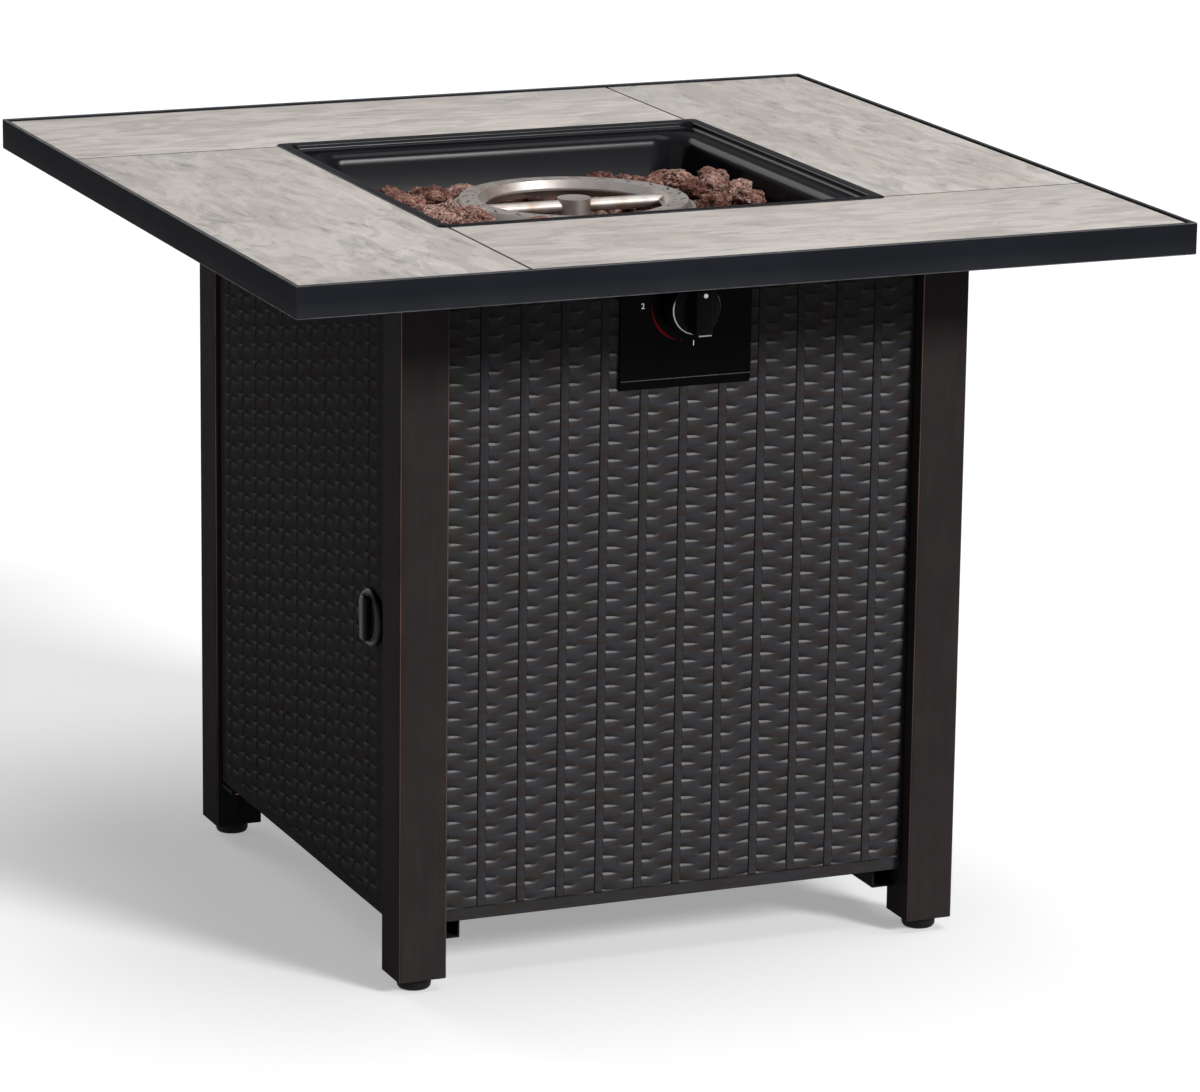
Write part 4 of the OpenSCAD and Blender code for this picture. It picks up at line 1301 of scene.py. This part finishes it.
    def tray(self, form: Form, low: Vector, high: Vector) -> None:
        """Add the folded sheet behind the weave: a shallow tray that is open at its back.

        Args:
            form: Mesh that the tray goes into.
            low: Lowest corner, with the crest plane as Y.
            high: Highest corner.
        """
        face = low.y + self.relief
        verts = form.cube((low.x, face, low.z), high)
        faces = sorted({f for v in verts for f in v.link_faces},
                       key=lambda f: f.calc_center_median().y)
        front, back = faces[0], faces[-1]
        rim = list(front.edges)
        bmesh.ops.inset_region(form.bm, faces=[back], thickness=self.sheet, use_even_offset=True)
        pushed = bmesh.ops.extrude_discrete_faces(form.bm, faces=[back])["faces"][0]
        bmesh.ops.translate(form.bm, vec=(0, self.sheet - (high.y - face), 0),
                            verts=pushed.verts[:])
        form.soften(rim, self.hem_r, 3)

    def build(self) -> None:
        """Build and dress the sheet."""
        turn = self.side.turn
        corners = [turn.inverted() @ Vector(c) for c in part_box(self.node)]
        low, high = (Vector(pick(pair) for pair in zip(*corners)) for pick in (min, max))
        hems, face = Form(), Form()
        self.tray(hems, low, high)
        tone, shine = self.skin(face, low, high)
        for form in (hems, face):
            bmesh.ops.transform(form.bm, matrix=turn, verts=form.bm.verts[:])
        face.bm.normal_update()
        outward = turn @ Vector((0, -1, 0))
        if sum(f.normal.dot(outward) for f in list(face.bm.faces)[:200]) < 0:
            bmesh.ops.reverse_faces(face.bm, faces=face.bm.faces[:])
        tray = hems.piece(f"{self.node}_hems", 40.0)
        weave = face.close(f"{self.node}_weave", 23.0)
        count = len(tray.data.vertices)
        plain = {"tone": np.full(count, 0.5), "shine": np.zeros(count)}
        for piece, looks in ((weave, {"tone": tone, "shine": shine}), (tray, plain)):
            for name, numbers in looks.items():
                held = piece.data.attributes.new(name, "FLOAT", "POINT")
                held.data.foreach_set("value", numbers.astype(np.float32))
            dress(piece, self.finishes.weave, self.body, "weave_paint", self.node)


@dataclass
class DoorLatch:
    """Round quarter-turn latch with a finger wing on the door's face, drawn in millimetres."""

    finishes: Finishes
    face: float = -261.5 * MM
    bore: float = 5.1
    neck: float = 8.5
    through: float = -7.0
    stem_end: float = -24.8
    steps: int = 64

    def build(self) -> None:
        """Build and dress the bezel and the turning knob."""
        low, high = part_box("latch_bezel")
        middle = (low + high) / 2
        r = (high.z - low.z) / 2 / MM
        turn = Matrix.Rotation(-math.pi / 2, 4, "Y") @ Matrix.Scale(MM, 4)
        place = Matrix.Translation((self.face, middle.y, middle.z)) @ turn
        bezel = Form()
        bezel.lathe([
            (self.bore, self.through), (self.neck, self.through), (self.neck, -0.1),
            (r - 0.3, -0.1), (r, 0.8), (r - 0.2, 2.2), (r - 0.9, 3.3), (r - 2.2, 3.9),
            (r - 3.6, 3.9), (r - 4.3, 3.4), (r - 4.6, 1.6), (self.bore, 1.6),
            (self.bore, self.through)], place, self.steps)
        dress(bezel.piece("latch_bezel_ring", 40.0), self.finishes.latch, "door", "latch_plastic",
              "latch_bezel")
        knob = Form()
        disc, end = r - 5, self.stem_end
        knob.lathe([
            (0, end), (4.4, end), (5, end + 0.6), (5, 2), (disc - 0.4, 2), (disc, 2.5),
            (disc - 0.2, 3.4), (disc - 1.2, 3.9), (disc * 0.8, 3.4), (0, 2.9)], place, self.steps)
        knob.block((0.6 - disc, -5.5, 2.6), (disc - 0.6, 5.5, 10), 2.2, 4, place)
        dress(knob.piece("latch_wing", 40.0), self.finishes.latch, "door_latch", "latch_plastic",
              "latch_knob")


@dataclass
class GasControl:
    """Control panel with its printed marks, and the push-and-turn knob."""

    finishes: Finishes
    lip: float = 8 * MM
    fold_r: float = 0.9 * MM
    ink: float = 0.08 * MM
    arc_start: float = 178.0
    arc_sweep: float = 76.0
    arc_steps: int = 40
    arc_r: float = 32.2 * MM
    arc_shrink: float = 0.6 * MM
    dot_at: float = 262.0
    dot_ring: float = 31.6 * MM
    dot_r: float = 0.9 * MM
    digit_h: float = 6.8 * MM
    digit_bold: float = 0.03 * MM
    steps: int = 72

    @property
    def knob_z(self) -> float:
        """Height of the knob's axis."""
        low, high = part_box("control_knob")
        return (low.z + high.z) / 2

    def panel(self) -> None:
        """Build and dress the folded panel and a painted highlight line along its fold."""
        low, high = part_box("control_panel")
        back = high.y - 0.1 * MM
        bend = low.z + self.lip
        form = Form()
        form.prism([(low.x, back, low.z), (low.x, low.y, bend), (low.x, low.y, high.z),
                    (low.x, back, high.z)], high.x - low.x)
        front = [e for e in form.bm.edges if all(abs(v.co.y - low.y) < SAME for v in e.verts)]
        form.soften(front, self.fold_r, 4)
        dress(form.piece("control_plate"), self.finishes.control, "table", "control_black",
              "control_panel")
        # A lighter strip along the fold is a painted highlight line
        fold_highlight = Form()
        fold_highlight.block((low.x + 0.6 * MM, low.y - 0.45 * MM, bend - 0.3 * MM),
                   (high.x - 0.6 * MM, low.y + 0.6 * MM, bend + 0.7 * MM), 0.4 * MM)
        dress(fold_highlight.piece("control_fold_highlight"), self.finishes.fold_highlight, "table", "control_black",
              "control_panel")

    @staticmethod
    def _polar(radius: float, angle: float) -> Vector:
        """Step from the knob's axis across the panel, at an angle in radians."""
        return Vector((radius * math.cos(angle), 0.0, radius * math.sin(angle)))

    def marks(self) -> None:
        """Build and dress the red arc and dot and the plain numbers."""
        dial = Vector((0.0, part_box("control_panel")[0].y - self.ink, self.knob_z))
        facing = Matrix.Rotation(math.pi / 2, 4, "X")
        arc = Form()
        rims = ([], [])
        for i in range(self.arc_steps + 1):
            t = i / self.arc_steps
            angle = math.radians(self.arc_start + self.arc_sweep * t)
            half = (0.22 + 1.1 * math.sin(math.pi * t ** 1.25) ** 1.4) * MM
            r = self.arc_r - self.arc_shrink * t
            for rim, radius in zip(rims, (r - half, r + half)):
                rim.append(dial + self._polar(radius, angle))
        edges = [edge for rim in rims for edge in arc.outline(rim)[1]]
        bmesh.ops.bridge_loops(arc.bm, edges=edges)
        self._ink(arc.piece("dial_arc"), self.finishes.red)
        dot = Form()
        middle = dial + self._polar(self.dot_ring, math.radians(self.dot_at))
        bmesh.ops.create_circle(dot.bm, cap_ends=True, segments=20, radius=self.dot_r,
                                matrix=Matrix.Translation(middle) @ facing)
        self._ink(dot.piece("dial_dot"), self.finishes.red)
        for label, name, x, z in (("2", "dial_two", -40.5, -1.4), ("1", "dial_one", 7.0, -36.5)):
            words = bpy.data.curves.new(name, "FONT")
            words.body = label
            words.size = self.digit_h
            words.offset = self.digit_bold
            words.align_x = "CENTER"
            written = link(f"{name}_curve", words)
            graph = bpy.context.evaluated_depsgraph_get()
            mesh = bpy.data.meshes.new_from_object(written.evaluated_get(graph))
            bpy.data.objects.remove(written)
            mesh.transform(Matrix.Translation(dial + Vector((x, 0.0, z)) * MM) @ facing)
            mesh.name = name
            self._ink(link(name, mesh), self.finishes.white)

    @staticmethod
    def _ink(mark: bpy.types.Object, ink: bpy.types.Material) -> None:
        """Turn a printed mark to the front and dress it.

        Args:
            mark: The mark.
            ink: Its colour.
        """
        mesh = mark.data
        if sum(p.normal.y * p.area for p in mesh.polygons) > 0:
            mesh.flip_normals()
        dress(mark, ink, "table", "pointer_white")

    def knob(self) -> None:
        """Build and dress the knob and its trim, drawn in millimetres from the knob's back."""
        low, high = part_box("control_knob")
        r = (high.x - low.x) / 2 / MM
        depth = (high.y - low.y) / MM
        skirt = (high.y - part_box("knob_trim")[1].y) / MM
        turn = Matrix.Rotation(math.pi / 2, 4, "X") @ Matrix.Scale(MM, 4)
        place = Matrix.Translation((0, high.y, self.knob_z)) @ turn
        form = Form()
        form.lathe([
            (4.1, depth - 8), (4.1, 0), (r - 1.0, 0), (r - 0.1, 0.8), (r, 2),
            (r - 0.5, skirt - 1.2), (r - 1.6, skirt), (r - 3.4, skirt + 0.2),
            (r - 4.2, skirt + 0.8), (r - 5.6, skirt + 1.2), (r * 0.5, skirt + 1.0),
            (0, skirt + 0.8)], place, self.steps)
        grip = r - 2.6
        form.block((-8, -grip, skirt - 1), (8, grip, depth), 2.6, 4, place)
        dress(form.piece("knob_grip", 40.0), self.finishes.knob, "control_knob", "knob_plastic",
              "control_knob")
        trim = Form()
        trim.lathe([
            (r - 1.7, skirt - 0.6), (r - 1.1, skirt - 1.0), (r - 0.8, skirt - 0.45),
            (r - 1.7, skirt + 0.25), (r - 1.7, skirt - 0.6)], place, self.steps)
        tilt = Matrix.Rotation(math.radians(28.0), 4, "X")
        end = place @ Matrix.Translation((0, 1.0 - grip, depth - 1.0)) @ tilt
        trim.block((-6, -0.9, -0.9), (6, 0.9, 0.9), 0.3, 2, end)
        dress(trim.piece("knob_trim_ring", 40.0), self.finishes.chrome, "control_knob",
              "trim_chrome", "knob_trim")

    def build(self) -> None:
        """Build the panel, the marks and the knob."""
        self.panel()
        self.marks()
        self.knob()


@dataclass
class Feet:
    """Round glides on studs under the legs, drawn in millimetres."""

    finishes: Finishes
    stud_r: float = 4.0
    glide_h: float = 11.5
    steps: int = 48

    def build(self) -> None:
        """Build and dress the four feet."""
        for corner in CORNERS:
            low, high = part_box(f"foot_{corner}")
            middle = (low + high) / 2
            r, top = (high.x - low.x) / 2 / MM, high.z / MM
            stud, glide = self.stud_r, self.glide_h
            form = Form()
            form.lathe([
                (0, 0), (r - 3.6, 0), (r - 1.6, 0.7), (r - 0.4, 2.4), (r, 4.6), (r, 9.8),
                (r - 0.5, 11), (r - 1.4, glide), (stud, glide), (stud, top - 0.8),
                (stud - 0.8, top), (0, top)],
                Matrix.Translation((middle.x, middle.y, low.z)) @ Matrix.Scale(MM, 4), self.steps)
            dress(form.piece(f"glide_{corner}", 40.0), self.finishes.rubber,
                  f"levelling_foot_{corner}", "foot_rubber", f"foot_{corner}")


@dataclass
class CarriedSolids:
    """Solids whose shape is right already and that only need their finish."""

    finishes: Finishes

    def build(self) -> None:
        """Dress them."""
        f = self.finishes
        groups = (
            (f.hidden, ("top_tray", "lower_channel_left", "lower_channel_right", "bottom_shelf",
                        "pivot_plate_upper", "pivot_plate_lower", "latch_strike", "valve_bracket",
                        *(f"upper_rail_{side.label}" for side in Side))),
            (f.leg, tuple(f"leg_{corner}" for corner in CORNERS)),
            (f.plug, tuple(f"leg_plug_{corner}" for corner in CORNERS)),
            (f.steel, ("burner_ring",)),
            (f.alloy, ("mixing_tube", "gas_tube", "gas_valve")),
            (f.brass, ("burner_locknut", "stem_collar", "valve_stem")),
            (f.zinc, ("igniter_bracket", "latch_cam")),
            (f.copper, ("flame_probe", "door_pivot_pins")),
            (f.ceramic, ("igniter_rod",)),
            (f.white, ("knob_pointer",)))
        for material, names in groups:
            for name in names:
                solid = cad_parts[name]
                solid.data.materials.clear()
                solid.data.materials.append(material)
                log.info("%s is dressed", name)


@dataclass(frozen=True)
class Lamp:
    """A wide distant lamp.

    Its azimuth runs from the front towards the right, its elevation from the horizon, and its light
    arrives over its spread, all in degrees. A level of 1 shows a colour as it is on a face that is
    turned to the lamp.
    """

    name: str
    azimuth: float
    elevation: float
    spread: float
    level: float

    def build(self) -> None:
        """Add the lamp to the scene."""
        data = bpy.data.lights.new(self.name, "SUN")
        data.angle = math.radians(self.spread)
        data.energy = math.pi * self.level
        made = link(self.name, data)
        made.rotation_euler = (math.radians(90 - self.elevation), 0.0, math.radians(self.azimuth))


@dataclass
class Studio:
    """Pale floor, soft lamps and the camera."""

    centre: Point = (-1.84204, -4.44847, 1.54508)
    azimuth: float = -22.816
    elevation: float = 14.347
    roll: float = 0.718
    lens: float = 164.72
    sensor: float = 36.0
    view_end: float = 60.0
    floor_half: float = 40.0
    ambient: float = 0.07
    walls: float = 0.5
    lift: float = 0.34
    lamps: tuple[Lamp, ...] = (
        Lamp("front", 30.0, 29.0, 14.0, 0.77), Lamp("low", 9.0, 5.0, 40.0, 0.06),
        Lamp("left", -79.0, 7.0, 60.0, 0.10), Lamp("top", 65.0, 76.0, 40.0, 0.415),
        Lamp("rear", -165.0, 22.0, 25.0, 0.20))

    def camera(self) -> None:
        """Set up the camera."""
        a, e, r = (math.radians(d) for d in (self.azimuth, self.elevation, self.roll))
        back = Vector((math.sin(a) * math.cos(e), -math.cos(a) * math.cos(e), math.sin(e)))
        right = Vector((math.cos(a), math.sin(a), 0.0))
        right = right * math.cos(r) + back.cross(right) * math.sin(r)
        turn = Matrix((right, back.cross(right), back)).transposed().to_4x4()
        data = bpy.data.cameras.new("camera")
        data.sensor_fit = "HORIZONTAL"
        data.sensor_width = self.sensor
        data.lens = self.lens
        data.clip_end = self.view_end
        made = link("camera", data)
        made.matrix_world = Matrix.Translation(self.centre) @ turn
        bpy.context.scene.camera = made

    def floor(self) -> None:
        """Lay the pale floor, which the camera and mirrors see a little lighter than it is lit."""
        form = Form()
        bmesh.ops.create_grid(form.bm, x_segments=2, y_segments=2, size=self.floor_half)
        made = form.piece("floor")
        p = Paint("pale_floor")
        seen = p.seen()
        pale = p.mix(p.noise(1.2, 2.0) * 0.3, (0.80, 0.80, 0.80), (0.79, 0.79, 0.795))
        base = p.mix(seen, (0.20, 0.20, 0.20), pale)
        glow = p.mix(seen, (0.0, 0.0, 0.0), (self.lift, self.lift, self.lift))
        made.data.materials.append(p.coat(base, 0.9, Specular_IOR_Level=0.0, Emission_Color=glow,
                                          Emission_Strength=1.0))

    def sky(self) -> None:
        """Give the world an even, dim light, and mirrors a paler studio to show."""
        p = Paint("studio", bpy.data.worlds)
        strength = p.seen() * (self.walls - self.ambient) + self.ambient
        light = p.node("ShaderNodeBackground", None, {0: (1.0, 1.0, 1.0, 1.0), 1: strength})
        p.send(light, "ShaderNodeOutputWorld")
        bpy.context.scene.world = p.material

    def build(self) -> None:
        """Set up the whole studio."""
        bpy.context.scene.view_settings.view_transform = "Standard"
        self.camera()
        self.floor()
        self.sky()
        for lamp in self.lamps:
            lamp.build()


def main() -> None:
    """Build the studio and the table."""
    logging.basicConfig(level=logging.INFO, format="%(message)s")
    Studio().build()
    finishes = Finishes()
    CarriedSolids(finishes).build()
    Tabletop(finishes).build()
    FirePan(finishes).build()
    RockBed(finishes).build()
    for side in (Side.FRONT, Side.RIGHT, Side.BACK):
        WovenSheet(finishes, side, f"{side.label}_panel", "table", 1.5 * MM).build()
    WovenSheet(finishes, Side.LEFT, "door_panel", "door", 10 * MM, gloss=0.22).build()
    DoorLatch(finishes).build()
    GasControl(finishes).build()
    Feet(finishes).build()


if __name__ == "__main__":
    main()
